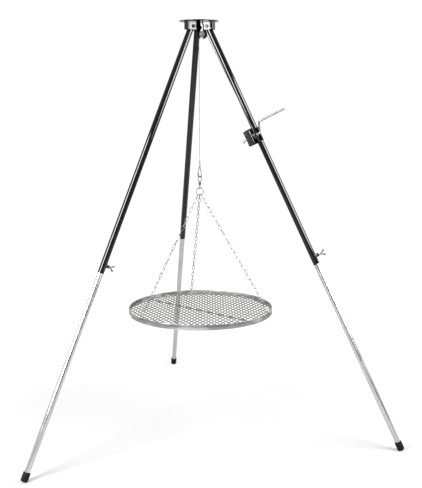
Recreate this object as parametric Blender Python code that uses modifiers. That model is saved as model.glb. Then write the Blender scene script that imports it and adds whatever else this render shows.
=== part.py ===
"""Campfire tripod grate: a three-legged stand with telescopic legs, a crank winch,
a wire rope over a pulley and a round grate hanging on three chains.

Metres, +Z up. The feet stand on z = 0 and the origin is the middle of the footprint.
Each leg has its own frame: origin on its pivot bolt, +Z up along the tube, +X outwards
and square to the tube, +Y along the pivot bolt.
"""
from math import asin, atan2, cos, hypot, pi, radians, sin, sqrt, tan

import bmesh
import bpy
from mathutils import Matrix, Vector

# ---------------------------------------------------------------- driving dimensions
GAP = 0.0003                    # clearance kept between touching pieces
SIDES = 24                      # facets round a tube

LEAN = radians(26.0)            # angle between a leg and the vertical
PIVOT_R = 0.038                 # pivot bolt's distance from the tripod's middle axis
PIVOT_Z = 1.660
LEG_AZIMUTHS = {"rear": radians(90), "left": radians(210), "right": radians(330)}

PLATE_R, PLATE_T = 0.0785, 0.003
PLATE_Z = 1.6793                # underside of the head plate

BRACKET_T = 0.002
BRACKET_IN, BRACKET_OUT = 0.0265, 0.0645    # radial reach of a leg bracket
BRACKET_HALF = 0.0131           # half of the space between its cheeks
BRACKET_LOW = 1.647
BOLT_R, BOLT_HEAD_R, BOLT_HEAD_T = 0.004, 0.0072, 0.005

UPPER_R, UPPER_BORE = 0.0125, 0.0114
UPPER_TOP, UPPER_END = 0.015, -1.0325       # along the leg, from the pivot
LOWER_R, LOWER_BORE = 0.011, 0.0097
LOWER_TOP = -0.835
FOOT_R, FOOT_LENGTH, FOOT_FLOOR = 0.014, 0.035, 0.006
SOLE_CUT = 0.0025               # depth of the flat worn on the cap's lower edge

BOSS_R, BOSS_OUT, BOSS_ABOVE_END = 0.007, 0.0245, 0.033
SCREW_R, SCREW_OUT = 0.0028, 0.0505
BOSS_SIDES = {"rear": 1, "left": -1, "right": 1}

PULLEY_OFFSET, PULLEY_Z = 0.015, 1.630
ROPE_R, ROPE_WRAP_R = 0.00125, 0.015
PULLEY_FLANGE_R, PULLEY_HALF = 0.0175, 0.0045
CHEEK_IN, CHEEK_T, CHEEK_R = 0.005, 0.002, 0.018

WINCH_DOWN = 0.471              # along the leg, from the pivot to the crank shaft
SHAFT_Y = -0.034                # the shaft passes in front of the leg
SHAFT_R = 0.004
WEB_Y, WEB_T = -0.0146, 0.002
SPOOL_CORE_R, SPOOL_FLANGE_R, WINDING_R = 0.008, 0.0160, 0.01385
CRANK_PLANE, CRANK_ARM, CRANK_HANDLE = 0.021, 0.075, 0.115
CRANK_TURN = radians(50.0)      # arm's rest position, from leg-up towards the far side

RING_R, RING_WIRE, RING_Z = 0.01475, 0.00175, 1.005
CHAIN_R = 0.0025
GRATE_R, RIM_T, RIM_TOP, RIM_HEIGHT = 0.300, 0.002, 0.522, 0.022
MESH_TOP, MESH_T = 0.5078, 0.0024
MESH_ACROSS, MESH_DEEP = 0.0227, 0.0417     # pitch of the diamonds, and the strand's width
MESH_STRAND = 0.0034
MESH_TURN = radians(-10.5)
CHAIN_TURN = radians(-2.0)      # the chains' places on the rim, against the legs
BAR_R, BAR_AZIMUTH = 0.0024, radians(-52.0)
HOOK_HOLE_DROP = 0.009
HOOK_RING_R, HOOK_WIRE = 0.008, 0.0015

# the tripod's middle axis lies behind the origin, because two feet are in front
FOOT_END_Z = FOOT_R * sin(LEAN) - SOLE_CUT
FOOT_END_R = PIVOT_R + (PIVOT_Z - FOOT_END_Z) * tan(LEAN)
FOOT_END = -(PIVOT_Z - FOOT_END_Z) / cos(LEAN)
REAR_REACH = FOOT_END_R + FOOT_R * cos(LEAN)
FRONT_REACH = FOOT_END_R / 2 + FOOT_R * sqrt(1 - (sin(LEAN) / 2) ** 2)
AXIS_Y = (FRONT_REACH - REAR_REACH) / 2


# ---------------------------------------------------------------- scene and materials
def clear_scene():
    for old in list(bpy.data.objects):
        bpy.data.objects.remove(old, do_unlink=True)


def collection(name):
    made = bpy.data.collections.new(name)
    bpy.context.scene.collection.children.link(made)
    return made


clear_scene()
PARTS = collection("campfire_tripod_grate")
CUTTERS = collection("cutters")


def material(name, colour, roughness, metallic):
    made = bpy.data.materials.new(name)
    made.use_nodes = True
    shader = made.node_tree.nodes["Principled BSDF"]
    shader.inputs["Base Color"].default_value = (*colour, 1)
    shader.inputs["Roughness"].default_value = roughness
    shader.inputs["Metallic"].default_value = metallic
    return made


BLACK = ((0.012, 0.012, 0.013), 0.22, 0.0)
ZINC = ((0.60, 0.61, 0.62), 0.35, 1.0)
DARK_BOLT = ((0.05, 0.05, 0.055), 0.40, 0.8)
STAINLESS = ((0.62, 0.61, 0.60), 0.28, 1.0)
RUBBER = ((0.015, 0.015, 0.015), 0.75, 0.0)
ROPE = ((0.66, 0.66, 0.66), 0.40, 1.0)


def frame(name, location, rotation=(0, 0, 0), parent=None):
    """An empty that carries pieces; a moving piece's frame sits on its joint's axis."""
    empty = bpy.data.objects.new(name, None)
    empty.location, empty.rotation_euler = location, rotation
    empty.empty_display_size = 0.05
    empty.parent = parent
    PARTS.objects.link(empty)
    return empty


def add(name, data, look, parent=None, smooth=True):
    """A named sub-part with its own material; look None makes a cutter or guide."""
    piece = bpy.data.objects.new(name, data)
    piece.parent = parent
    if look is None:
        piece.hide_render = True
        piece.display_type = "WIRE"
        CUTTERS.objects.link(piece)
    else:
        data.materials.append(material(name + "_finish", *look))
        PARTS.objects.link(piece)
    if smooth and isinstance(data, bpy.types.Mesh):
        data.shade_smooth()
        data.set_sharp_from_angle(angle=radians(35))
    return piece


# ---------------------------------------------------------------- modelling helpers
def finish_mesh(name, shape):
    mesh = bpy.data.meshes.new(name)
    shape.to_mesh(mesh)
    shape.free()
    return mesh


def along(start, end):
    """The matrix that puts a piece made about local Z between two points."""
    start, end = Vector(start), Vector(end)
    turn = (end - start).to_track_quat("Z", "Y").to_matrix().to_4x4()
    return Matrix.Translation((start + end) / 2) @ turn


def rod(name, start, end, radius, look, parent=None, sides=SIDES, radius_end=None):
    """A solid round bar, or a cone where radius_end differs."""
    shape = bmesh.new()
    bmesh.ops.create_cone(
        shape, cap_ends=True, segments=sides, radius1=radius,
        radius2=radius if radius_end is None else radius_end,
        depth=(Vector(end) - Vector(start)).length, matrix=along(start, end))
    return add(name, finish_mesh(name, shape), look, parent)


def block(name, low, high, look, parent=None, edge=0.0):
    """A box between two corners, with bevelled edges where edge is given."""
    low, high = Vector(low), Vector(high)
    shape = bmesh.new()
    bmesh.ops.create_cube(shape, size=1)
    bmesh.ops.scale(shape, vec=high - low, verts=shape.verts)
    bmesh.ops.translate(shape, vec=(low + high) / 2, verts=shape.verts)
    piece = add(name, finish_mesh(name, shape), look, parent, smooth=edge > 0)
    if edge:
        bevel = piece.modifiers.new("rounded_edges", "BEVEL")
        bevel.width, bevel.segments = edge, 2
    return piece


def turned(name, profile, look, parent=None, matrix=None, sides=SIDES):
    """A profile of (radius, height) points turned about local Z.

    The profile runs down its outer side and, for a ring, back up its bore.
    """
    closed = all(r > 0 for r, z in profile)
    shape = bmesh.new()
    points = [shape.verts.new((r, 0, z)) for r, z in profile]
    pairs = list(zip(points, points[1:])) + ([(points[-1], points[0])] if closed else [])
    for a, b in pairs:
        shape.edges.new((a, b))
    piece = add(name, finish_mesh(name, shape), look, parent, smooth=False)
    screw = piece.modifiers.new("turning", "SCREW")
    screw.steps = screw.render_steps = sides
    screw.use_merge_vertices = True
    screw.merge_threshold = 0.00001
    screw.use_normal_calculate = False
    screw.use_smooth_shade = True
    if matrix is not None:
        piece.matrix_local = matrix
    return piece


def ring_profile(inner, outer, low, high):
    return [(outer, high), (outer, low), (inner, low), (inner, high)]


def wire(name, points, radius, look, parent=None, cyclic=False, resolution=2):
    """A round wire through the points."""
    curve = bpy.data.curves.new(name, "CURVE")
    curve.dimensions = "3D"
    curve.bevel_depth = radius
    curve.bevel_resolution = resolution
    curve.use_fill_caps = not cyclic
    line = curve.splines.new("POLY")
    line.points.add(len(points) - 1)
    for spot, point in zip(line.points, points):
        spot.co = (*point, 1)
    line.use_cyclic_u = cyclic
    line.use_smooth = True
    return add(name, curve, look, parent)


def outline(name, points, low, high, look, parent=None, matrix=None):
    """A flat outline in local XY, from height low to height high."""
    curve = bpy.data.curves.new(name, "CURVE")
    curve.dimensions = "2D"
    curve.fill_mode = "BOTH"
    curve.extrude = (high - low) / 2
    line = curve.splines.new("POLY")
    line.points.add(len(points) - 1)
    for spot, point in zip(line.points, points):
        spot.co = (*point, 0, 1)
    line.use_cyclic_u = True
    piece = add(name, curve, look, parent)
    lift = Matrix.Translation((0, 0, (low + high) / 2))
    piece.matrix_local = lift if matrix is None else matrix @ lift
    return piece


def as_mesh(piece, look=None):
    """Replaces a curve object by a welded mesh object, so that it can be cut or joined."""
    bpy.context.view_layer.update()
    graph = bpy.context.evaluated_depsgraph_get()
    mesh = bpy.data.meshes.new_from_object(piece.evaluated_get(graph))
    shape = bmesh.new()
    shape.from_mesh(mesh)
    bmesh.ops.remove_doubles(shape, verts=shape.verts, dist=0.00001)
    shape.to_mesh(mesh)
    shape.free()
    name, parent, local = piece.name, piece.parent, piece.matrix_local.copy()
    bpy.data.objects.remove(piece, do_unlink=True)
    made = add(name, mesh, look, parent)
    made.matrix_local = local
    return made


def combine(piece, others, operation):
    """Boolean of a piece with others, which are cutters or guides."""
    for other in others:
        step = piece.modifiers.new(other.name, "BOOLEAN")
        step.operation = operation
        step.solver = "EXACT"
        step.object = other


def cut(piece, *others):
    combine(piece, others, "DIFFERENCE")


def join(piece, *others):
    combine(piece, others, "UNION")


def arc(centre, radius, start, end, count):
    """Points on a circle in a plane, both ends included."""
    steps = [start + (end - start) * i / count for i in range(count + 1)]
    return [(centre[0] + radius * cos(a), centre[1] + radius * sin(a)) for a in steps]


def bolt(name, head_at, tip, shank_r, head_r, head_t, look, parent):
    """A hexagon bolt: the head's bearing face is at head_at and the shank ends at tip."""
    head_at, tip = Vector(head_at), Vector(tip)
    outwards = (head_at - tip).normalized()
    piece = rod(name, head_at, head_at + outwards * head_t, head_r, look, parent, sides=6)
    shank = rod(name + "_shank", head_at + outwards * (head_t / 2), tip, shank_r, None,
                parent, sides=12)
    join(piece, shank)
    return piece


def nut(name, start, end, bore_r, outer_r, look, parent):
    piece = rod(name, start, end, outer_r, look, parent, sides=6)
    reach = (Vector(end) - Vector(start)) * 0.5
    hole = rod(name + "_bore", Vector(start) - reach, Vector(end) + reach, bore_r, None,
               parent, sides=12)
    cut(piece, hole)
    return piece


def radial_frame(name, azimuth, height):
    """A frame on the middle axis with +X towards an azimuth."""
    return frame(name, (0, AXIS_Y, height), (0, 0, azimuth))


# ---------------------------------------------------------------- head
def make_head_plate():
    profile = [(0, PLATE_Z + PLATE_T), (PLATE_R - 0.0006, PLATE_Z + PLATE_T),
               (PLATE_R, PLATE_Z + PLATE_T - 0.0006), (PLATE_R, PLATE_Z), (0, PLATE_Z)]
    plate = turned("head_plate", profile, BLACK, sides=48)
    plate.location = (0, AXIS_Y, 0)


def make_leg_bracket(side, azimuth):
    """A U of sheet steel, closed outwards: its lower edge stops the leg's spread."""
    home = radial_frame("head_frame_" + side, azimuth, 0)
    outer = BRACKET_HALF + BRACKET_T
    points = [(BRACKET_IN, -outer), (BRACKET_OUT - 0.003, -outer), (BRACKET_OUT, -outer + 0.003),
              (BRACKET_OUT, outer - 0.003), (BRACKET_OUT - 0.003, outer), (BRACKET_IN, outer),
              (BRACKET_IN, BRACKET_HALF), (BRACKET_OUT - BRACKET_T, BRACKET_HALF),
              (BRACKET_OUT - BRACKET_T, -BRACKET_HALF), (BRACKET_IN, -BRACKET_HALF)]
    piece = as_mesh(outline("leg_bracket_" + side, points, BRACKET_LOW, PLATE_Z - GAP,
                            None, home), BLACK)
    hole = rod("bracket_hole_" + side, (PIVOT_R, -0.03, PIVOT_Z), (PIVOT_R, 0.03, PIVOT_Z),
               BOLT_R + GAP, None, home, sides=16)
    cut(piece, hole)
    face = outer + GAP
    tip = face + 0.0085
    bolt("pivot_bolt_" + side, (PIVOT_R, -face, PIVOT_Z), (PIVOT_R, tip, PIVOT_Z),
         BOLT_R, BOLT_HEAD_R, BOLT_HEAD_T, DARK_BOLT, home)
    nut("pivot_nut_" + side, (PIVOT_R, face, PIVOT_Z), (PIVOT_R, face + 0.0065, PIVOT_Z),
        BOLT_R + GAP, BOLT_HEAD_R, DARK_BOLT, home)


def rope_exit():
    """Where the rope leaves the pulley for the spool, in the right leg's radial plane.

    Returns the pulley angle, the exit point and the spool's end of the rope.
    """
    spool_x = -0.0017
    down = WINCH_DOWN - 0.0088
    end_r = PIVOT_R + down * sin(LEAN) + spool_x * cos(LEAN)
    end_z = PIVOT_Z - down * cos(LEAN) + spool_x * sin(LEAN)
    dr, dz = end_r - PULLEY_OFFSET, end_z - PULLEY_Z
    angle = atan2(dz, dr) + pi / 2 - asin(ROPE_WRAP_R / hypot(dr, dz))
    exit_r = PULLEY_OFFSET + ROPE_WRAP_R * cos(angle)
    exit_z = PULLEY_Z + ROPE_WRAP_R * sin(angle)
    return angle, (exit_r, exit_z), (end_r, end_z)


def make_pulley():
    """Pulley in its strap under the plate, in the right leg's plane."""
    home = radial_frame("pulley_frame", LEG_AZIMUTHS["right"], 0)
    stand = Matrix.Rotation(pi / 2, 4, "X")     # outline XY becomes radial and height
    top = PLATE_Z - GAP
    lower = arc((PULLEY_OFFSET, PULLEY_Z), CHEEK_R, radians(28), radians(-208), 16)
    cheek_points = [(-0.013, top), (0.013, top)] + lower
    cheeks = []
    for label, y in (("near", -CHEEK_IN - CHEEK_T), ("far", CHEEK_IN)):
        cheek = outline("pulley_cheek_" + label, cheek_points, -y - CHEEK_T, -y, None, home,
                        stand)
        cheeks.append(as_mesh(cheek))
    half = CHEEK_IN + CHEEK_T
    strap = block("pulley_bracket", (-0.013, -half, top - CHEEK_T), (0.013, half, top),
                  BLACK, home)
    join(strap, *cheeks)
    axle_hole = rod("pulley_axle_hole", (PULLEY_OFFSET, -0.02, PULLEY_Z),
                    (PULLEY_OFFSET, 0.02, PULLEY_Z), 0.0033, None, home, sides=16)
    cut(strap, axle_hole)

    washer_t = 0.0012
    face = half + GAP
    bolt("pulley_axle", (PULLEY_OFFSET, -face - washer_t - GAP, PULLEY_Z),
         (PULLEY_OFFSET, face + 0.0075, PULLEY_Z), 0.003, 0.0055, 0.004, DARK_BOLT, home)
    nut("pulley_nut", (PULLEY_OFFSET, face, PULLEY_Z), (PULLEY_OFFSET, face + 0.005, PULLEY_Z),
        0.0033, 0.0055, DARK_BOLT, home)
    side_on = Matrix.Translation((PULLEY_OFFSET, 0, PULLEY_Z)) @ stand
    turned("pulley_washer", ring_profile(0.0033, 0.0125, face, face + washer_t), ZINC, home,
           side_on)

    spin = frame("pulley_spin_frame", (PULLEY_OFFSET, 0, PULLEY_Z), (pi / 2, 0, 0), home)
    floor = ROPE_WRAP_R - ROPE_R - GAP
    wheel = [(PULLEY_FLANGE_R, PULLEY_HALF), (floor, 0.0016), (floor, -0.0016),
             (PULLEY_FLANGE_R, -PULLEY_HALF), (0.0033, -PULLEY_HALF), (0.0033, PULLEY_HALF)]
    turned("pulley_wheel", wheel, ZINC, spin, sides=32)

    angle = rope_exit()[0]
    tip = 2 * GAP / ROPE_WRAP_R
    path = arc((PULLEY_OFFSET, PULLEY_Z), ROPE_WRAP_R, pi - tip, angle + tip, 18)
    wire("pulley_cable", [(r, 0, z) for r, z in path], ROPE_R, ROPE, home)


# ---------------------------------------------------------------- legs
def make_leg(side, azimuth):
    """Upper tube, boss with wing screw, lower tube and rubber foot of one leg."""
    pivot = (PIVOT_R * cos(azimuth), AXIS_Y + PIVOT_R * sin(azimuth), PIVOT_Z)
    leg = frame("leg_frame_" + side, pivot, (0, -LEAN, azimuth))
    facing = BOSS_SIDES[side]
    boss_z = UPPER_END + BOSS_ABOVE_END

    upper = turned("upper_leg_" + side, ring_profile(UPPER_BORE, UPPER_R, UPPER_END, UPPER_TOP),
                   BLACK, leg)
    bolt_hole = rod("tube_hole_" + side, (0, -0.02, 0), (0, 0.02, 0), BOLT_R + GAP, None, leg,
                    sides=16)
    tip_hole = rod("tip_hole_" + side, (0, 0, boss_z), (facing * 0.02, 0, boss_z),
                   SCREW_R + GAP, None, leg, sides=12)
    cut(upper, bolt_hole, tip_hole)

    boss = rod("clamp_boss_" + side, (facing * 0.010, 0, boss_z), (facing * BOSS_OUT, 0, boss_z),
               BOSS_R, BLACK, leg, sides=20)
    saddle = rod("boss_saddle_" + side, (0, 0, boss_z - 0.03), (0, 0, boss_z + 0.03),
                 UPPER_R + GAP, None, leg)
    thread = rod("boss_bore_" + side, (0, 0, boss_z), (facing * 0.04, 0, boss_z),
                 SCREW_R + GAP, None, leg, sides=12)
    cut(boss, saddle, thread)
    make_wing_screw(side, leg, facing, boss_z)

    turned("lower_leg_" + side,
           ring_profile(LOWER_BORE, LOWER_R, FOOT_END + FOOT_FLOOR + GAP, LOWER_TOP), ZINC, leg)
    cap_top = FOOT_END + FOOT_LENGTH
    cap = [(LOWER_R + GAP, cap_top), (FOOT_R - 0.001, cap_top), (FOOT_R, cap_top - 0.001),
           (FOOT_R, FOOT_END), (0, FOOT_END)]
    foot = turned("foot_cap_" + side, [(0, FOOT_END + FOOT_FLOOR),
                                       (LOWER_R + GAP, FOOT_END + FOOT_FLOOR)] + cap, RUBBER, leg)
    ground = block("ground_cut_" + side, (-1.2, -1.2, -0.1), (1.2, 1.2, 0), None)
    cut(foot, ground)


def make_wing_screw(side, leg, facing, boss_z):
    """A screw with two flat wings that spread along the leg; it turns in the boss."""
    turn = frame("wing_frame_" + side, (0, 0, boss_z), (0, facing * pi / 2, 0), leg)
    hub = 0.0305
    screw = rod("wing_screw_" + side, (0, 0, LOWER_R + GAP), (0, 0, hub + 0.004), SCREW_R,
                ZINC, turn, sides=12)
    collar = rod("wing_hub_" + side, (0, 0, hub - 0.0045), (0, 0, hub + 0.0055), 0.0048, None,
                 turn, sides=12, radius_end=0.0038)
    right = ([(0.0, 0.0)] + arc((0.0085, SCREW_OUT - hub - 0.0045), 0.0045, radians(-35),
                                radians(145), 6) + [(0.0, 0.006)])
    left = [(-x, y) for x, y in reversed(right[1:-1])]
    stand = Matrix.Translation((0, 0, hub)) @ Matrix.Rotation(pi / 2, 4, "X")
    wings = as_mesh(outline("wings_" + side, right + left, -0.0011, 0.0011, None, turn, stand))
    join(screw, collar, wings)


# ---------------------------------------------------------------- winch
def make_winch():
    """Crank winch strapped to the right leg, with its shaft across the leg's front."""
    azimuth = LEG_AZIMUTHS["right"]
    drop = Vector((PIVOT_R + WINCH_DOWN * sin(LEAN), 0, PIVOT_Z - WINCH_DOWN * cos(LEAN)))
    drop.rotate(Matrix.Rotation(azimuth, 3, "Z"))
    home = frame("winch_frame", drop + Vector((0, AXIS_Y, 0)), (0, -LEAN, azimuth))

    low, high = -0.0305, 0.035
    web = block("winch_bracket", (-0.0365, WEB_Y - WEB_T, low), (0.008, WEB_Y, high), BLACK,
                home)
    cheek = block("winch_cheek", (0.0055, -0.048, low), (0.008, WEB_Y - WEB_T / 2, high), None,
                  home)
    join(web, cheek)
    shaft_hole = rod("winch_shaft_hole", (-0.05, SHAFT_Y, 0), (0.05, SHAFT_Y, 0),
                     SHAFT_R + GAP, None, home, sides=20)
    notch = rod("winch_corner", (0.030, -0.06, high + 0.009), (0.030, 0.0, high + 0.009),
                0.0285, None, home, sides=32)
    cut(web, shaft_hole, notch)

    housing_low = (-0.036, -0.050, low)
    housing = block("winch_housing", housing_low, (-0.0109, WEB_Y - WEB_T - GAP, -low), BLACK,
                    home, edge=0.0012)
    cut(housing, shaft_hole)
    plate = block("winch_side_plate", (-0.0106, -0.052, -0.026),
                  (-0.0091, WEB_Y - WEB_T - GAP, 0.026), ZINC, home)
    cut(plate, shaft_hole)

    inner, outer = UPPER_R + GAP, UPPER_R + 0.0026
    back = arc((0, 0), outer, 0, pi, 15) + [(-outer, WEB_Y + GAP), (-inner, WEB_Y + GAP)]
    strap_points = back + arc((0, 0), inner, pi, 0, 15) + [(inner, WEB_Y + GAP),
                                                          (outer, WEB_Y + GAP)]
    strap = as_mesh(outline("winch_clamp", strap_points, low + 0.004, high - 0.006, None,
                            home), BLACK)
    for label, z in (("upper", 0.016), ("lower", -0.016)):
        hole = rod("clamp_hole_" + label, (0, 0.010, z), (0, 0.030, z), 0.0028, None, home,
                   sides=12)
        cut(strap, hole)
        bolt("clamp_screw_" + label, (0, outer + GAP, z), (0, UPPER_R + GAP, z), 0.0025,
             0.005, 0.0038, DARK_BOLT, home)
    make_crank(home)
    make_winch_cable()


def make_crank(home):
    """Bent crank rod, its collar, and the spool with its winding, all on the shaft axis."""
    crank = frame("crank_frame", (0, SHAFT_Y, 0), (0, 0, 0), home)
    arm = Vector((0, sin(CRANK_TURN), cos(CRANK_TURN)))
    across = Vector((1, 0, 0))

    def corner(at, before, after, radius, count):
        """Points of a round bend at a corner between two directions."""
        turn = before.angle(after)
        start = at - before * (radius * tan(turn / 2))
        side = (after - before * before.dot(after)).normalized()
        middle = start + side * radius
        return [middle + before * (radius * sin(turn * i / count))
                - side * (radius * cos(turn * i / count)) for i in range(count + 1)]

    tail_bend = radians(35)
    tail_out = Vector((-cos(tail_bend), 0, -sin(tail_bend)))
    tail_corner = Vector((-0.047, 0, 0))
    path = [tail_corner + tail_out * 0.012]
    path += corner(tail_corner, -tail_out, across, 0.012, 3)
    path += [Vector((x, 0, 0)) for x in (-0.03, -0.01)]
    path += corner(across * CRANK_PLANE, across, arm, 0.0095, 6)
    path += corner(across * CRANK_PLANE + arm * CRANK_ARM, arm, across, 0.0065, 6)
    path.append(across * (CRANK_PLANE + CRANK_HANDLE) + arm * CRANK_ARM)
    wire("crank_rod", path, SHAFT_R, ZINC, crank, resolution=4)

    lie = Matrix.Rotation(pi / 2, 4, "Y")
    bore = SHAFT_R + GAP
    turned("crank_collar", ring_profile(bore, 0.0095, 0.0083, 0.0108), ZINC, crank, lie)
    spool = [(SPOOL_FLANGE_R, 0.0052), (SPOOL_FLANGE_R, 0.0037), (SPOOL_CORE_R, 0.0037),
             (SPOOL_CORE_R, -0.0073), (SPOOL_FLANGE_R, -0.0073), (SPOOL_FLANGE_R, -0.0088),
             (bore, -0.0088), (bore, 0.0052)]
    turned("winch_spool", spool, BLACK, crank, lie)
    turned("spool_cable", ring_profile(SPOOL_CORE_R + GAP, WINDING_R, -0.0070, 0.0034), ROPE,
           crank, lie)


def make_winch_cable():
    """The rope's stretch from the pulley down to the spool."""
    home = radial_frame("winch_cable_frame", LEG_AZIMUTHS["right"], 0)
    (exit_r, exit_z), (end_r, end_z) = rope_exit()[1:]
    start = Vector((exit_r, 0, exit_z))
    end = Vector((end_r, SHAFT_Y + WINDING_R - ROPE_R, end_z))
    down = (end - start).normalized()
    wire("winch_cable", [start + down * GAP, (start + end) / 2, end], ROPE_R, ROPE, home)


# ---------------------------------------------------------------- rope end and swivel
def loop(half_width, half_height, count):
    """An oval in a vertical plane: (sideways, height) points."""
    steps = [2 * pi * i / count for i in range(count)]
    return [(half_width * sin(a), half_height * cos(a)) for a in steps]


def make_hanging_gear():
    """Ferrule, rope eye, snap hook with gate, swivel and master ring on the middle axis."""
    swing = frame("cable_swing_frame", (0, AXIS_Y, PULLEY_Z), (0, 0, LEG_AZIMUTHS["right"]))
    ferrule_top, ferrule_low = 1.1300, 1.1080
    wire("drop_cable", [(0, 0, -GAP), (0, 0, (ferrule_top - PULLEY_Z) / 2),
                        (0, 0, ferrule_top + GAP - PULLEY_Z)], ROPE_R, ROPE, swing)

    hoist = frame("hoist_frame", (0, AXIS_Y, 0))
    ferrule = [(0, ferrule_top), (0.0022, ferrule_top), (0.003, ferrule_top - 0.001),
               (0.003, ferrule_low + 0.001), (0.0022, ferrule_low), (0, ferrule_low)]
    turned("cable_ferrule", ferrule, ZINC, hoist, sides=16)

    hook_yaw, wire_r = radians(-38), 0.0018
    top_r, top_z = 0.0040, 1.0987
    base_r, base_z = 0.0080, 1.0720
    eye_low = top_z + top_r - wire_r - ROPE_R - GAP
    eye_top = ferrule_low - GAP - ROPE_R
    middle, half = (eye_low + eye_top) / 2, (eye_top - eye_low) / 2
    eye = wire("cable_eye", [(x, 0, middle + z) for x, z in loop(0.0036, half, 14)], ROPE_R,
               ROPE, hoist, cyclic=True)
    eye.rotation_euler.z = hook_yaw + pi / 2

    hook = frame("hook_frame", (0, 0, 0), (0, 0, hook_yaw), hoist)
    side = asin((base_r - top_r) / (top_z - base_z))
    path = arc((0, base_z), base_r, pi + side * 0.2, 2 * pi + side, 12)
    path += arc((0, top_z), top_r, side, radians(165), 8)
    wire("snap_hook", [(x, 0, z) for x, z in path], wire_r, ZINC, hook)
    hinge_at = Vector((-base_r * cos(side), 0, base_z + base_r * sin(side) + 0.0030))
    nose = Vector((top_r * cos(radians(165)), 0, top_z + top_r * sin(radians(165))))
    gate = frame("gate_frame", hinge_at, (0, 0, 0), hook)
    reach = nose - hinge_at
    length = reach.length - 0.0023
    wire("snap_gate", [(0, 0, 0), reach * 0.5, reach.normalized() * length], 0.0015, ZINC,
         gate)
    make_swivel()


def make_swivel():
    """Swivel eye that hangs in the hook, and the barrel and grate gear that turn below it."""
    eye_yaw, eye_wire = radians(22), 0.0016
    swing = frame("grate_swing_frame", (0, AXIS_Y, 1.0660), (0, 0, LEG_AZIMUTHS["right"]))
    top, low = 1.0681, 1.0448
    lift = (top + low) / 2 - 1.0660
    points = [(x, 0, z + lift) for x, z in loop(0.0085, (top - low) / 2, 18)]
    eye = as_mesh(wire("swivel_eye", points, eye_wire, None, swing, cyclic=True), ZINC)
    eye.rotation_euler.z = eye_yaw - LEG_AZIMUTHS["right"]
    stem_profile = [(0, low), (0.0018, low), (0.0018, 1.0392), (0.0030, 1.0384),
                    (0.0030, 1.0366), (0, 1.0366)]
    stem = turned("swivel_stem", [(r, z - 1.0660) for r, z in stem_profile], None, swing,
                  sides=16)
    join(eye, stem)

    spin = frame("grate_spin_frame", (0, AXIS_Y, 0))
    barrel_profile = [(0.0045, 1.0425), (0.0060, 1.0412), (0.0060, 1.0385), (0.0030, 1.0290),
                      (0, 1.0290)]
    bore = [(0, 1.0355), (0.0034, 1.0355), (0.0034, 1.0396), (0.0022, 1.0402),
            (0.0022, 1.0425)]
    barrel = turned("swivel_barrel", bore + barrel_profile, ZINC, spin, sides=20)
    eye_half = 0.0068
    link = as_mesh(wire("barrel_link", [(0, x, 1.0230 + z) for x, z in loop(0.0050, eye_half,
                                                                           14)],
                        0.0014, None, spin, cyclic=True))
    join(barrel, link)
    ring = [(x, 0, RING_Z + z) for x, z in loop(RING_R, RING_R, 22)]
    wire("master_ring", ring, RING_WIRE, ZINC, spin, cyclic=True)
    make_grate(spin)


# ---------------------------------------------------------------- chains and grate
def make_chain(side, azimuth, grate):
    """A straight chain, here one bar of its outer size, with its hook in the rim."""
    turn = frame("chain_frame_" + side, (0, 0, 0), (0, 0, azimuth + CHAIN_TURN), grate)
    top = Vector((0.0, 0, RING_Z - RING_R))
    hook_z = RIM_TOP - HOOK_HOLE_DROP + HOOK_RING_R
    hook_r = GRATE_R - RIM_T / 2
    end = Vector((hook_r - 0.0035, 0, hook_z + HOOK_RING_R))
    down = (end - top).normalized()
    rod("chain_" + side, top + down * 0.008, end - down * 0.0035, CHAIN_R, ZINC, turn, sides=8)
    ring = [(hook_r + x, 0, hook_z + z) for x, z in loop(HOOK_RING_R, HOOK_RING_R, 14)]
    wire("rim_hook_" + side, ring, HOOK_WIRE, ZINC, turn, cyclic=True)
    hole_z = RIM_TOP - HOOK_HOLE_DROP
    return rod("rim_hole_" + side, (GRATE_R - 0.01, 0, hole_z), (GRATE_R + 0.01, 0, hole_z),
               0.0028, None, turn, sides=12)


def make_mesh_plate(grate):
    """Flat expanded metal as a plain lattice with diamond openings."""
    outer = GRATE_R - RIM_T - GAP
    plate = turned("grate_mesh", [(0, MESH_TOP), (outer, MESH_TOP), (outer, MESH_TOP - MESH_T),
                                  (0, MESH_TOP - MESH_T)], STAINLESS, grate, sides=64)
    half_across, half_deep = MESH_ACROSS / 2, MESH_DEEP / 2
    inset = MESH_STRAND / 2 * hypot(half_across, half_deep) / (half_across * half_deep)
    shape = bmesh.new()
    rows, columns = int(outer / half_deep) + 1, int(outer / MESH_ACROSS) + 1
    opening = Matrix.Diagonal((half_across * (1 - inset), half_deep * (1 - inset), 1, 1))
    for row in range(-rows, rows + 1):
        for column in range(-columns, columns + 1):
            x, y = (column + (row % 2) / 2) * MESH_ACROSS, row * half_deep
            if hypot(abs(x), abs(y) + half_deep) < outer - MESH_STRAND and (
                    hypot(abs(x) + half_across, y) < outer - MESH_STRAND):
                place = Matrix.Translation((x, y, MESH_TOP - MESH_T / 2))
                bmesh.ops.create_cone(shape, cap_ends=True, segments=4, radius1=1, radius2=1,
                                      depth=0.02, matrix=place @ opening)
    holes = add("mesh_openings", finish_mesh("mesh_openings", shape), None, grate)
    holes.rotation_euler.z = MESH_TURN
    cut(plate, holes)


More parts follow.
